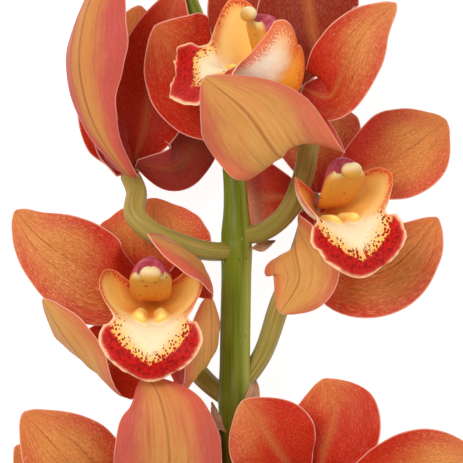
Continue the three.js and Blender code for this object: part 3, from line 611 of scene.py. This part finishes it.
def lip_surface(path, narrow, tall, curl, lean, front, t, v, full=1):
    """A lip in the flower's frame: claw and side lobes curl up round the column, the front lobe
    spreads and turns down with a frilled margin, and two keels run along the middle. tall, curl
    and lean act on the side lobes by exp(-((t - 0.36) / 0.13)^2), front on the front lobe, and
    full on the rear of the right lobe by exp(-(t / 0.14)^2)."""
    y, z = (even([p[c] for p in path], t) for c in (0, 1))
    a, b = np.maximum(t - 0.001, 0), np.minimum(t + 0.001, 1)
    rise = [even([p[c] for p in path], b) - even([p[c] for p in path], a) for c in (0, 1)]
    along = unit(np.stack([0 * t, *rise], -1))
    normal = np.stack([0 * t, along[:, 2], -along[:, 1]], -1)
    lobe = np.exp(-((t - 0.36) / 0.13) ** 2)
    half = (smooth(LIP_HALF, t) * (1 - (1 - narrow) * np.clip(t / 0.2, 0, 1)) * (1 + (tall - 1) * lobe)
            * (1 + (front - 1) * np.clip((t - 0.5) / 0.15, 0, 1)))
    phi = np.radians(smooth(LIP_CURL, t) * (1 + (curl - 1) * lobe))
    T, V = np.meshgrid(t, v, indexing="ij")
    half = half[:, None] * np.where(V < 0, 1, 1 + (full - 1) * np.exp(-((T / 0.14) ** 2)))
    edge = np.clip((np.abs(V) - 0.6) / 0.4, 0, 1) ** 1.5
    free = np.clip((T - 0.4) / 0.15, 0, 1) * np.clip((1.02 - T) / 0.1, 0, 1)
    frill = edge * free * (0.7 * np.sin(14 * np.pi * T + np.sign(V) * 0.6)
                           + 0.3 * np.sin(37 * np.pi * T + V * 4))
    crest = (np.exp(-((np.abs(V) - 0.15) / 0.07) ** 2)
             * np.clip((T - 0.12) / 0.1, 0, 1) * np.clip((0.5 - T) / 0.08, 0, 1))
    radius = half / phi[:, None]
    lift = radius * (1 - np.cos(phi[:, None] * V)) + frill + 2.3 * narrow * crest
    ahead = z[:, None] + lean * lobe[:, None] * V * V
    grid = np.stack([radius * np.sin(phi[:, None] * V), np.broadcast_to(y[:, None], T.shape), ahead],
                    -1) + normal[:, None] * lift[..., None]
    length = np.r_[0, np.cumsum(np.hypot(np.diff(y), np.diff(z)))]
    return grid, T, V, crest, half * V, np.broadcast_to(length[:, None], T.shape)


COLUMN_PATH = [(0, -.4), (-1.7, 7), (-1.7, 15), (2.5, 23.5), (6.3, 30)]
COLUMN_WIDE = [(0, 1.9), (.1, 2.2), (.18, 2.6), (.3, 3.8), (.5, 6), (.75, 6.8), (.9, 6.5), (1, 4.6)]
COLUMN_DEEP = [(0, 1.6), (.1, 2), (.3, 3), (.6, 3.4), (.85, 3.6), (.95, 3.2), (1, 2.2)]
COLUMN_HOOD = [(0, 0), (.55, 0), (.85, .8), (.95, 1.25), (1, 1.3)]  # swelling of its back
CAP_HALF = (3.5, 2.7, 2.2)


def column(t, angle, slim):
    """A column in the flower's frame, `slim` times its full width: half-round back over a hollowed
    underside; past its tip the rings shrink and sink back, which leaves a hood round the cap's seat."""
    on = np.minimum(t, 1)
    y, z = (even([p[c] for p in COLUMN_PATH], on) for c in (0, 1))
    a, b = np.maximum(on - 0.01, 0), np.minimum(on + 0.01, 1)
    rise = [even([p[c] for p in COLUMN_PATH], b) - even([p[c] for p in COLUMN_PATH], a) for c in (0, 1)]
    along = unit(np.stack([0 * t, *rise], -1))
    up = np.stack([0 * t, along[:, 2], -along[:, 1]], -1)
    shut = np.sqrt(np.clip(1 - ((t - 1) / 0.12).clip(0, 1) ** 2, 0, 1))
    sunk = 1.6 * step(t, 1.0, 1.12)
    wide, deep = (smooth(k, on) * np.where(t > 1, shut, 1) for k in (COLUMN_WIDE, COLUMN_DEEP))
    centre = np.stack([0 * t, y, z], -1) - along * sunk[:, None]
    s = np.sin(angle)
    hollow = 0.45 - 0.35 * np.exp(-(np.cos(angle) / 0.5) ** 2) * step(t, 0.2, 0.7)[:, None]
    hollow = np.where(s < 0, hollow, 1 + (smooth(COLUMN_HOOD, on) * slim ** 3)[:, None])
    x = slim * wide[:, None] * np.cos(angle)
    return (centre[:, None] + np.stack([x, 0 * x, 0 * x], -1)
            + up[:, None] * (deep[:, None] * s * hollow)[..., None])


BUD_RADIUS = [(0, 1.5), (.35, 1.8), (.5, 2.6), (.6, 5), (.75, 6.8), (.88, 5.2), (.97, 2.2), (1, .7)]
STEM_PATH = [
    (2, STEM_CUT_Y, FLOOR + STEM_R_CUT), (1.6, -220, FLOOR + 5.54), (1.3, -185, FLOOR + 7.9), (1, -140, -13),
    (.8, -75, 0), (1.2, -33, 0), (1.6, -6, 0), (1, 17.5, -1), (-3, 43.5, -9), (-13.5, 76.5, -14),
    (-22, 98, -16)]
STEM_RADIUS = [(0, STEM_R_CUT), (.1, STEM_R_CUT), (.2, 5.3), (.5, 5.1), (.66, 5), (.7, 4.9), (.74, 4.1),
               (.85, 3.3), (1, 1.9)]

FLOWERS = {
    "flower_1": dict(
        at=(-34, 19.5, 4), faces=(-0.4, 0.91, 0.13), crown=(0.3, 0.1, -0.95), lip=SHUT_LIP,
        joint=-6.8, bends=[(-9, -6.2, 6), (-17.5, -3.8, 9), (-26, -0.2, 10), (-31.4, 5, 9)],
        blades=dict(
            sepal_dorsal=dict(
                path=[(4.5, 12, -8.5), (7, 27.4, -10), (11, 44, -11), (16.5, 62, -12.5)],
                inner=[(0.2, 0.8, 0.5), (0, 0.05, 1), (0, -0.1, 1)],
                width=30, cup=(35, 45, 35), late=0.77),
            petal_left=dict(
                path=[(-6, 7.5, -16.6), (-2, 30, -31.4), (3, 57, -33.6)],
                inner=[(-0.2, 0.8, 0.5), (0, 0.1, 1), (0.1, -0.1, 1)],
                width=31, cup=(30, 20)),
            petal_right=dict(
                path=[(15, 1.4, -6.1), (19.3, 6.6, -12.6), (21.5, 12.2, -15.5),
                      (20.5, 23, -18.5), (16.5, 34, -20)],
                inner=[(-0.3, 0.5, -0.8), (-0.2, 0.2, -0.95), (0.1, 0, -1)],
                width=20.5, cup=(22, 12), late=0.7),
            sepal_left=dict(
                path=[(-6.9, 4.7, -4), (-15.4, 27, -13.5), (-13, 49.5, -12)],
                inner=[(-0.1, 0.9, 0.3), (0.95, 0.2, 0), (0.95, -0.1, 0)],
                width=19, cup=(20, 15)),
            sepal_right=dict(
                path=[(0.8, -1.2, 11), (-4.5, 5.5, 16.9), (-9.7, 14.5, 19), (-13.5, 26, 19),
                      (-14.7, 37, 19), (-13.8, 46, 18), (-6, 70, 10)],
                inner=[(0.3, 0.6, -0.8), (0.4, 0.4, -0.85), (0.6, 0.1, -0.78), (0.77, 0, -0.63),
                       (0.75, -0.1, -0.65)],
                width=32, cup=(45, 55, 50), late=1.6),
        )),
    "flower_2": dict(
        at=(21.7, 45.2, 14), faces=(-0.62, 0.615, 0.47), crown=(0.67, 0.75, -0.09), lip=TALL_LIP,
        joint=-1.5, bends=[(10, -0.2, 3), (17.5, 5.5, 6), (22.5, 15, 8), (25.5, 30, 7)],
        blades=dict(
            sepal_dorsal=dict(
                path=[(6, 9, -2), (4.5, 23.5, -9), (0.5, 48.5, -13)],
                inner=[(-0.7, 0.5, 0.4), (-0.2, -0.2, 1), (-0.2, -0.2, 1)],
                width=36, cup=(30, 20)),
            petal_left=dict(
                path=[(-6, 8, -17), (-15.5, 25, -26), (-24, 45.5, -30)],
                inner=[(-0.6, 0.5, 0.5), (0.1, 0.1, 1), (0.1, 0, 1)],
                width=30, cup=(30, 20)),
            petal_right=dict(
                path=[(9.8, -1.6, 6.5), (15.5, 9, 11), (22.5, 20.5, 12), (31.5, 28.5, 12)],
                inner=[(-0.7, 0.5, 0.4), (-0.35, -0.1, 0.9), (-0.2, -0.1, 1)],
                width=25, cup=(30, 20), late=0.62),
            sepal_left=dict(
                path=[(-15.5, -5, -6), (-29.5, -0.5, -8), (-38.5, 9.5, -7), (-46.5, 22.5, -4)],
                inner=[(-0.6, 0.6, 0.4), (0.1, 0.3, 0.95), (0.1, -0.1, 1)],
                width=36, cup=(30, 20), sweep=(-14, 0)),
            sepal_right=dict(
                path=[(-4.8, -16.8, 14.5), (-6.4, -20.9, 25.5), (-17.3, -6.9, 33.8),
                      (-30.3, 3.6, 38)],
                inner=[(-0.7, 0.6, 0.2), (-0.2, 0.55, -0.81), (-0.1, 0.5, -0.86)],
                width=37.5, cup=(34, 22), sweep=(-4, 18), late=1.3),
        )),
    "flower_3": dict(
        at=(28.5, 9.6, -3), faces=(0.34, 0.12, 0.92), crown=(-0.12, 1, 0), lip=OPEN_LIP,
        joint=-54, bends=[(10, -41, -4), (16, -24.5, -9), (22, -10, -15), (26, 3, -15.5)],
        blades=dict(
            sepal_dorsal=dict(
                path=[(-1.5, 16, -8), (-2.5, 28, -18), (-3, 40, -26.6)],
                inner=[(0.2, -0.2, 1), (0.1, 0.3, 0.9), (0.1, 0.5, 0.8)],
                width=34, cup=(30, 20)),
            petal_left=dict(
                path=[(-10, 2, 0), (-19, 1.5, -9), (-24.5, -1, -22)],
                inner=[(0.2, 0, 1), (-0.2, 0, 1), (-0.5, 0, 0.9)],
                width=30, cup=(30, 20)),
            petal_right=dict(
                path=[(13, 9, 3), (28, 16.5, 0), (43, 27.5, -7)],
                inner=[(0.2, -0.1, 0.9), (-0.1, 0.1, 1), (0, 0.1, 1)],
                width=31, cup=(25, 10)),
            sepal_left=dict(
                path=[(-4, -5.5, 3), (-7, -15.5, 10.5), (-6, -25, 12), (-12.5, -36.5, 10)],
                inner=[(0.3, 0.1, 0.9), (0.8, 0.1, 0.2), (0.4, 0, -0.9), (0.3, 0, -0.95),
                       (0.3, 0, -0.95)],
                width=27, cup=(30, 20)),
            sepal_right=dict(
                path=[(1.5, -11, -1.8), (9.5, -23, -6.6), (22.5, -22.5, -3), (32.5, -14.5, -1),
                      (40, -5, -5)],
                inner=[(0.3, 0.1, 1), (0, 0.1, 1), (-0.1, 0.2, 1)],
                width=30, cup=(20, 15)),
        )),
    "flower_4": dict(
        at=(-26.5, -19.3, 3), faces=(0.02, -0.02, 1), crown=(0, 1, 0), lip=OPEN_LIP,
        joint=-57, bends=[(-9, -49, -7), (-17, -39.5, -12), (-24, -28, -12)],
        blades=dict(
            sepal_dorsal=dict(
                path=[(0.4, 9.3, -4), (0.5, 19, -9.5), (0.5, 30.5, -20)],
                inner=[(0, -0.1, 1), (0, 0.3, 1), (0, 0.8, 0.6)],
                width=39, cup=(16, 15), late=0.72),
            petal_left=dict(
                path=[(-14.3, 2, 8.5), (-26.8, 10.2, 8), (-38.3, 19.1, 5.5), (-44.6, 26.2, 2)],
                inner=[(0.2, -0.1, 1), (0.1, -0.2, 1), (0, 0, 1)],
                width=31.5, cup=(12, 10), late=0.62),
            petal_right=dict(
                path=[(16.8, 7, 15.5), (11, 13, 29), (0, 18, 39)],
                inner=[(-0.3, -0.1, 0.9), (-0.75, -0.5, 0.2), (-0.6, -0.7, -0.3)],
                width=26, cup=(30, 30)),
            sepal_left=dict(
                path=[(-10.3, -19, 1.5), (-16.5, -26, 8), (-26, -16.5, 13), (-35, -2.5, 13)],
                inner=[(0.3, 0.2, 1), (0.4, 0.35, 0.85), (0.75, 0.6, -0.45), (0.6, 0.6, -0.6)],
                width=30, cup=(25, 25)),
            sepal_right=dict(
                path=[(9.8, -18, 2), (13.8, -25.5, 4.5), (17.6, -24.5, 8.5), (19.4, -13.5, 11),
                      (19.3, -1.5, 9.5)],
                inner=[(-0.3, 0.2, 1), (-0.5, 0.3, 0.8), (-0.8, 0.2, -0.1), (-0.8, 0.2, -0.5),
                       (-0.7, 0.1, -0.7)],
                width=25, cup=(25, 25)),
        )),
    "flower_5": dict(
        at=(-18.6, -102, 0), faces=(-0.2, 0.93, 0.3), crown=(-0.6, -0.1, -0.75), lip=SHUT_LIP,
        joint=-136, bends=[(-6.5, -129, -10), (-13.5, -119, -7)],
        blades=dict(
            sepal_dorsal=dict(
                path=[(-18, 4, -13), (-38, 15, -19), (-54, 30, -20)],
                inner=[(-0.2, 0.9, 0.4), (0.2, 0.4, 0.9), (0.2, 0.1, 1)],
                width=34, cup=(30, 20)),
            petal_left=dict(
                path=[(-18, 10.5, 0), (-34.5, 26.5, 4), (-50, 42.5, 4)],
                inner=[(-0.1, 0.9, 0.3), (0.2, 0.3, 0.93), (0.1, 0.1, 1)],
                width=33, cup=(30, 20)),
            petal_right=dict(
                path=[(1, 12.5, -13), (-2, 28.5, -20), (-5.5, 45, -21)],
                inner=[(-0.2, 0.9, 0.2), (0, 0.1, 1), (0, 0, 1)],
                width=30, cup=(30, 20)),
            sepal_left=dict(
                path=[(-5, 5.5, 14.5), (-1.5, 31, 30), (-4.5, 48.5, 30), (-9.5, 55.5, 19)],
                inner=[(-0.1, 0.9, 0.1), (-0.1, 0.1, -1), (-0.1, -0.5, -0.9)],
                width=37, cup=(35, 30)),
            sepal_right=dict(
                path=[(9.5, 8, 0.8), (12, 24.5, -1), (11, 39.5, -5)],
                inner=[(-0.4, 0.9, 0.2), (-0.9, 0.1, 0.4), (-0.8, 0, 0.6)],
                width=30, cup=(30, 20)),
        )),
    "flower_6": dict(
        at=(27.6, -86, 0), faces=(0.05, -0.02, 1), crown=(0, 1, 0), lip=OPEN_LIP,
        joint=-120, bends=[(11, -111, -12), (21, -100, -14), (27, -91, -12)],
        blades=dict(
            sepal_dorsal=dict(
                path=[(3, 14.5, 4), (6, 26, 4), (3, 37.5, -1)],
                inner=[(0, -0.3, 1), (0, 0.1, 1), (0, 0.3, 0.9)],
                width=33, cup=(25, 20)),
            petal_left=dict(
                path=[(-10, 11, 9), (-17.5, 22, 14), (-24, 31, 14)],
                inner=[(0.2, -0.3, 1), (0.1, -0.1, 1), (0, 0.1, 1)],
                width=30, cup=(20, 10)),
            petal_right=dict(
                path=[(14.5, 2.5, 8), (34, 7.5, 12), (55.5, 11, 8)],
                inner=[(-0.2, -0.3, 1), (-0.1, -0.1, 1), (0, 0.1, 1)],
                width=29, cup=(20, 15)),
            sepal_left=dict(
                path=[(-8, -13.5, 4), (-13, -28, 9), (-13.5, -44.5, 8)],
                inner=[(0.1, 0.3, 1), (0.1, 0.1, 1), (0, -0.2, 1)],
                width=32, cup=(30, 20)),
            sepal_right=dict(
                path=[(12, -10, 3), (25, -22, 5), (36, -33, 2)],
                inner=[(0, 0.3, 1), (0, 0.1, 1), (0.1, -0.2, 1)],
                width=32, cup=(30, 20)),
        )),
}

LOOKS = {  # how far red runs up the inner face, and how rosy the outer face is; high values paint shade as dark brown-red, inside from 1.25 and outside from 0.9
    "flower_1": dict(sepal_dorsal=(1.3, 1), petal_left=(1, .9), petal_right=(1, 1.4), sepal_left=(1, .8),
                     sepal_right=(1.2, .85)),
    "flower_2": dict(sepal_dorsal=(1.9, 1), petal_left=(1.6, 1.1), petal_right=(.5, .9),
                     sepal_left=(1.2, .4), sepal_right=(.9, .2)),
    "flower_3": dict(sepal_dorsal=(.2, .5), petal_left=(.8, .6), petal_right=(.42, .4),
                     sepal_left=(.5, 0), sepal_right=(.4, .5)),
    "flower_4": dict(sepal_dorsal=(.35, .5), petal_left=(.3, .4), petal_right=(.6, .6),
                     sepal_left=(1.2, 0), sepal_right=(1.2, 0)),
    "flower_5": dict(sepal_dorsal=(.3, .4), petal_left=(.3, .4), petal_right=(.7, .5),
                     sepal_left=(.8, .7), sepal_right=(.7, .8)),
    "flower_6": dict(sepal_dorsal=(1, .5), petal_left=(1, .4), petal_right=(.5, .4),
                     sepal_left=(.5, .4), sepal_right=(.5, .4))}

TEPAL = tepal_finish()
LIP = lip_finish()
COLUMN = column_finish()
CAP = cap_finish()
STALK = stalk_finish()
STEM = stem_finish()
BUD = bud_finish()
BRACT = bract_finish()

TURN = np.linspace(0, 2 * np.pi, 49)[:-1]


def on_stem(y):
    """The point of the stem's axis at a height y along it."""
    t = np.linspace(0, 1, 2001)
    axis = through(STEM_PATH, t)
    return axis[np.searchsorted(axis[:, 1], y)]


def flower(name, at, faces, crown, lip, joint, bends, blades, number):
    """One flower. Its frame stands at `at`, with z the way it faces, y towards its crown and x = y cross z;
    a point p of that frame goes to p @ basis + at. Five blades grow from ROOTS, then the lip, the
    column, the cap, and the stalk, which bends from the stem's axis at height `joint` to its back."""
    base = np.array(at, float)
    z = unit(np.array(faces, float))
    y = np.array(crown, float)
    y = unit(y - z * (y @ z))
    basis = np.stack([np.cross(y, z), y, z])
    place = lambda grid: grid @ basis + base
    t, v = (crowded(61, 0.93) + 1) / 2, crowded(45, 0.93)
    for k, (part, form) in enumerate(blades.items()):
        angle, out, height = ROOTS[part]
        a = np.radians(angle)
        root = place(np.array([out * np.cos(a), out * np.sin(a), height]))
        path = np.vstack([root, np.array(form["path"]) + base])
        outline = PETAL if part.startswith("petal") else SEPAL
        grid, T, V = blade(outline=outline, t=t, v=v, wave=TEPAL_WAVE, phase=0.37 * k + 0.61 * number,
                           **{**form, "path": path})
        deep, blush = LOOKS[name][part]
        above = {"petal_left": -1, "petal_right": 1}.get(part, 0)  # the side next to the dorsal sepal
        sheet(f"{name}_{part}", grid, leaf_thickness(T, V, TEPAL_THICK), TEPAL, along=T, across=V,
              deep=T * 0 + deep, blush=T * 0 + blush, above=V * above, seed=T * 0 + 3.7 * k + 11.3 * number)

    t, v = (crowded(101, 0.9) + 1) / 2, crowded(81, 0.9)
    grid, T, V, crest, out, up = lip_surface(**lip, t=t, v=v)
    # shut marks the lips of shut flowers, whose under face is painted dark as shade
    sheet(f"{name}_lip", place(grid), leaf_thickness(T, V, LIP_THICK), LIP, along=T, across=V, crest=crest,
          out=out, up=up, disc=np.abs(out) - smooth(DISC, t)[:, None], seed=T * 0 + 5.1 * number,
          shut=T * 0 + (lip["narrow"] < 1))

    t = np.r_[np.linspace(0, 1, 56), 1 + 0.12 * np.sin(np.linspace(0, np.pi / 2, 12)[1:])]
    rings = column(t, TURN, (1 + lip["narrow"]) / 2)
    rings[0] = rings[0].mean(0) + (rings[0] - rings[0].mean(0)) * POLE
    tube(f"{name}_column", place(rings), COLUMN, along=np.minimum(t, 1)[:, None], back=np.sin(TURN)[None])

    # the cap: an ellipsoid of half sizes CAP_HALF with a groove along its top
    lat = np.linspace(-np.pi / 2 + POLE, np.pi / 2 - POLE, 26)[:, None]
    lobed = 1 - 0.12 * np.exp(-(np.cos(TURN) / 0.22) ** 2) * np.cos(lat) ** 2 * (np.sin(TURN) > 0)
    ball = np.stack([CAP_HALF[0] * np.cos(lat) * np.cos(TURN) * lobed,
                     CAP_HALF[1] * np.cos(lat) * np.sin(TURN) * lobed,
                     CAP_HALF[2] * np.sin(lat) + 0 * TURN], -1)
    seat = np.array([0, COLUMN_PATH[-1][0], COLUMN_PATH[-1][1] + 0.4 + CAP_HALF[2]])
    low = np.clip(-np.cos(lat) * np.sin(TURN) * 0.7 + 0.4, 0, 1)
    tube(f"{name}_anther_cap", place(ball + seat), CAP, low=low)

    under = [base + z * -6.5, base + z * 0.9]
    path = np.vstack([on_stem(joint), np.array(bends), under])
    t = np.linspace(0, 1, 121)
    centre, side, rise, _ = carried(path, t)
    shut = np.sqrt(np.clip(1 - ((t - 0.965) / 0.035).clip(0, 1) ** 2, 1e-4, 1))  # rounds off its upper end
    radius = even(STALK_RADIUS, t) * shut
    rib = np.abs(np.cos(3 * (TURN[None] + 0.5 * t[:, None] + number))) ** 0.8
    size = radius[:, None] * (0.93 + 0.08 * rib)
    rings = rings_along(centre, side, rise, size, size, TURN[None])
    tube(f"{name}_pedicel", rings, STALK, along=t[:, None], rib=rib, turn_x=np.cos(TURN)[None],
         turn_y=np.sin(TURN)[None], seed=1.3 * number)


def stem():
    """A round stem on its path, with low ribs, a swelling at each flower stalk, and a clean cut."""
    rows, foot, tip = 420, 7, 6  # rings along the stem, and those that close its cut and its tip
    t = np.r_[np.zeros(foot), np.linspace(0, 1, rows), np.ones(tip)]
    centre, side, rise, along = carried(STEM_PATH, np.linspace(0, 1, rows))
    pad = lambda a: np.vstack([np.repeat(a[:1], foot, 0), a, np.repeat(a[-1:], tip, 0)])
    centre, side, rise, along = map(pad, (centre, side, rise, along))
    turn = np.linspace(0, 2 * np.pi, 65)[:-1]
    close = np.r_[POLE, .25, .5, .72, .9, .97, .985, np.ones(rows), .96, .85, .65, .4, .2, POLE]
    dome = np.r_[np.zeros(foot + rows), .3, .8, 1.2, 1.5, 1.6, 1.62]
    joints = np.array([f["joint"] for f in FLOWERS.values()])
    knot = np.exp(-((centre[:, 1:2] - joints - 1) / 4.5) ** 2).max(1)
    rib = np.cos(9 * turn)[None] * 0.5 + 0.5
    swelling = (0.35 * knot * (close > 0.9))[:, None]
    radius = (smooth(STEM_RADIUS, t) * close)[:, None] * (0.985 + 0.015 * rib) + swelling
    rings = rings_along(centre + along * dome[:, None], side, rise, radius, radius, turn[None])
    cut = (np.arange(len(t)) < 6).astype(float)
    tube("stem", rings, STEM, along=t[:, None], knot=knot[:, None], cut=cut[:, None],
         turn_x=np.cos(turn)[None], turn_y=np.sin(turn)[None])


def bud(name, points):
    """A closed bud on its stalk; three seams groove the swollen part."""
    rows, tip = 100, 5  # rings along the bud, and those that close its tip
    t = np.r_[np.linspace(0, 1, rows), np.ones(tip)]
    centre, side, rise, along = carried(points, np.linspace(0, 1, rows))
    pad = lambda a: np.vstack([a, np.repeat(a[-1:], tip, 0)])
    centre, side, rise, along = map(pad, (centre, side, rise, along))
    close = np.r_[POLE, np.ones(rows - 1), .9, .7, .45, .2, POLE]
    dome = np.r_[np.zeros(rows), .12, .25, .35, .4, .42]
    seam = np.exp(-(np.sin(1.5 * TURN) / 0.16) ** 2)[None] * step(t, 0.5, 0.62)[:, None]
    size = (smooth(BUD_RADIUS, t) * close)[:, None] * (1 - 0.09 * seam)
    rings = rings_along(centre + along * dome[:, None], side, rise, size, size, TURN[None])
    tube(name, rings, BUD, along=t[:, None], seam=seam, angle=TURN[None])


def bract(name, path, inner, width, seed):
    """A small dry scale at the foot of a flower stalk."""
    t, v = (crowded(41) + 1) / 2, crowded(25)
    grid, T, V = blade(path, inner, width, (50, 30), SEPAL, t, v, wave=BRACT_WAVE, phase=seed)
    sheet(name, grid, leaf_thickness(T, V, BRACT_THICK), BRACT, along=T, across=V,
          seed=np.full(T.shape, seed))


stem()
for number, (name, form) in enumerate(FLOWERS.items()):
    flower(name, number=number, **form)
bud("bud_1", [(-17, 84, -15), (-26, 96, -15), (-33, 110, -13), (-40, 126, -10)])
bud("bud_2", [(-20, 93, -15.5), (-20, 104, -16), (-16, 118, -14), (-13, 138, -9)])
bract("bract_1", [(6.6, -5.5, 4), (10, -5, 0), (14.5, -3, -2)], [(1, 0, 0.3), (-0.1, 0.9, 0.4)], 4.5, 0.3)
bract("bract_2", [(5.6, -60, 3.3), (7.2, -54, 4.5), (8, -49, 4.2)], [(-0.2, 0.2, 1), (-0.3, 0, 1)], 5, 1.9)
bract("bract_3", [(-1.8, -66, 5.6), (-5, -62, 5), (-6.5, -56, 3.6)],
      [(0, 0, 1), (0.5, 0, 1), (1, 0, 0.3)], 4, 2.6)

# ---- Floor, light, camera -------------------------------------------------------------------


def floor():
    """A plain white surface that the stem lies on."""
    mesh = bpy.data.meshes.new("floor")
    corners = [(x * 3.0, y * 3.0, 0) for x, y in ((-1, -1), (1, -1), (1, 1), (-1, 1))]
    mesh.from_pydata(corners, [], [(0, 1, 2, 3)])
    thing = bpy.data.objects.new("floor", mesh)
    bpy.context.scene.collection.objects.link(thing)
    f = Finish("floor_white")
    f.surface.inputs["Base Color"].default_value = (0.25, 0.25, 0.25, 1)
    f.surface.inputs["Roughness"].default_value = 0.9
    f.surface.inputs["Specular IOR Level"].default_value = 0.0
    f.surface.inputs["Emission Color"].default_value = (1, 1, 1, 1)
    f.surface.inputs["Emission Strength"].default_value = 0.9
    mesh.materials.append(f.material)


def softbox(name, place, aim, size, power):
    """A square area light at place, turned towards aim."""
    light = bpy.data.lights.new(name, "AREA")
    light.shape, light.size, light.energy = "SQUARE", size, power
    thing = bpy.data.objects.new(name, light)
    bpy.context.scene.collection.objects.link(thing)
    thing.location = place
    thing.rotation_euler = (Vector(aim) - Vector(place)).to_track_quat("-Z", "Y").to_euler()


floor()
softbox("key", (-0.45, 0.45, 1.1), BLOOMS, 0.6, 8.6)
softbox("fill", (0.8, -0.1, 0.9), BLOOMS, 1.0, 4)
world = bpy.data.worlds.new("studio")
bpy.context.scene.world = world
world.use_nodes = True
world.node_tree.nodes["Background"].inputs[0].default_value = (1, 1, 1, 1)
world.node_tree.nodes["Background"].inputs[1].default_value = 0.44
bpy.context.scene.view_settings.view_transform = "Standard"

lens = bpy.data.cameras.new("camera")
lens.sensor_fit = "HORIZONTAL"
lens.sensor_width = SENSOR
lens.lens = SENSOR * CAMERA_HEIGHT / VIEW_WIDTH
lens.clip_start, lens.clip_end = 0.05, 20
camera = bpy.data.objects.new("camera", lens)
bpy.context.scene.collection.objects.link(camera)
camera.location = (np.array([0, 0, CAMERA_HEIGHT]) + ORIGIN) / 1000
bpy.context.scene.camera = camera
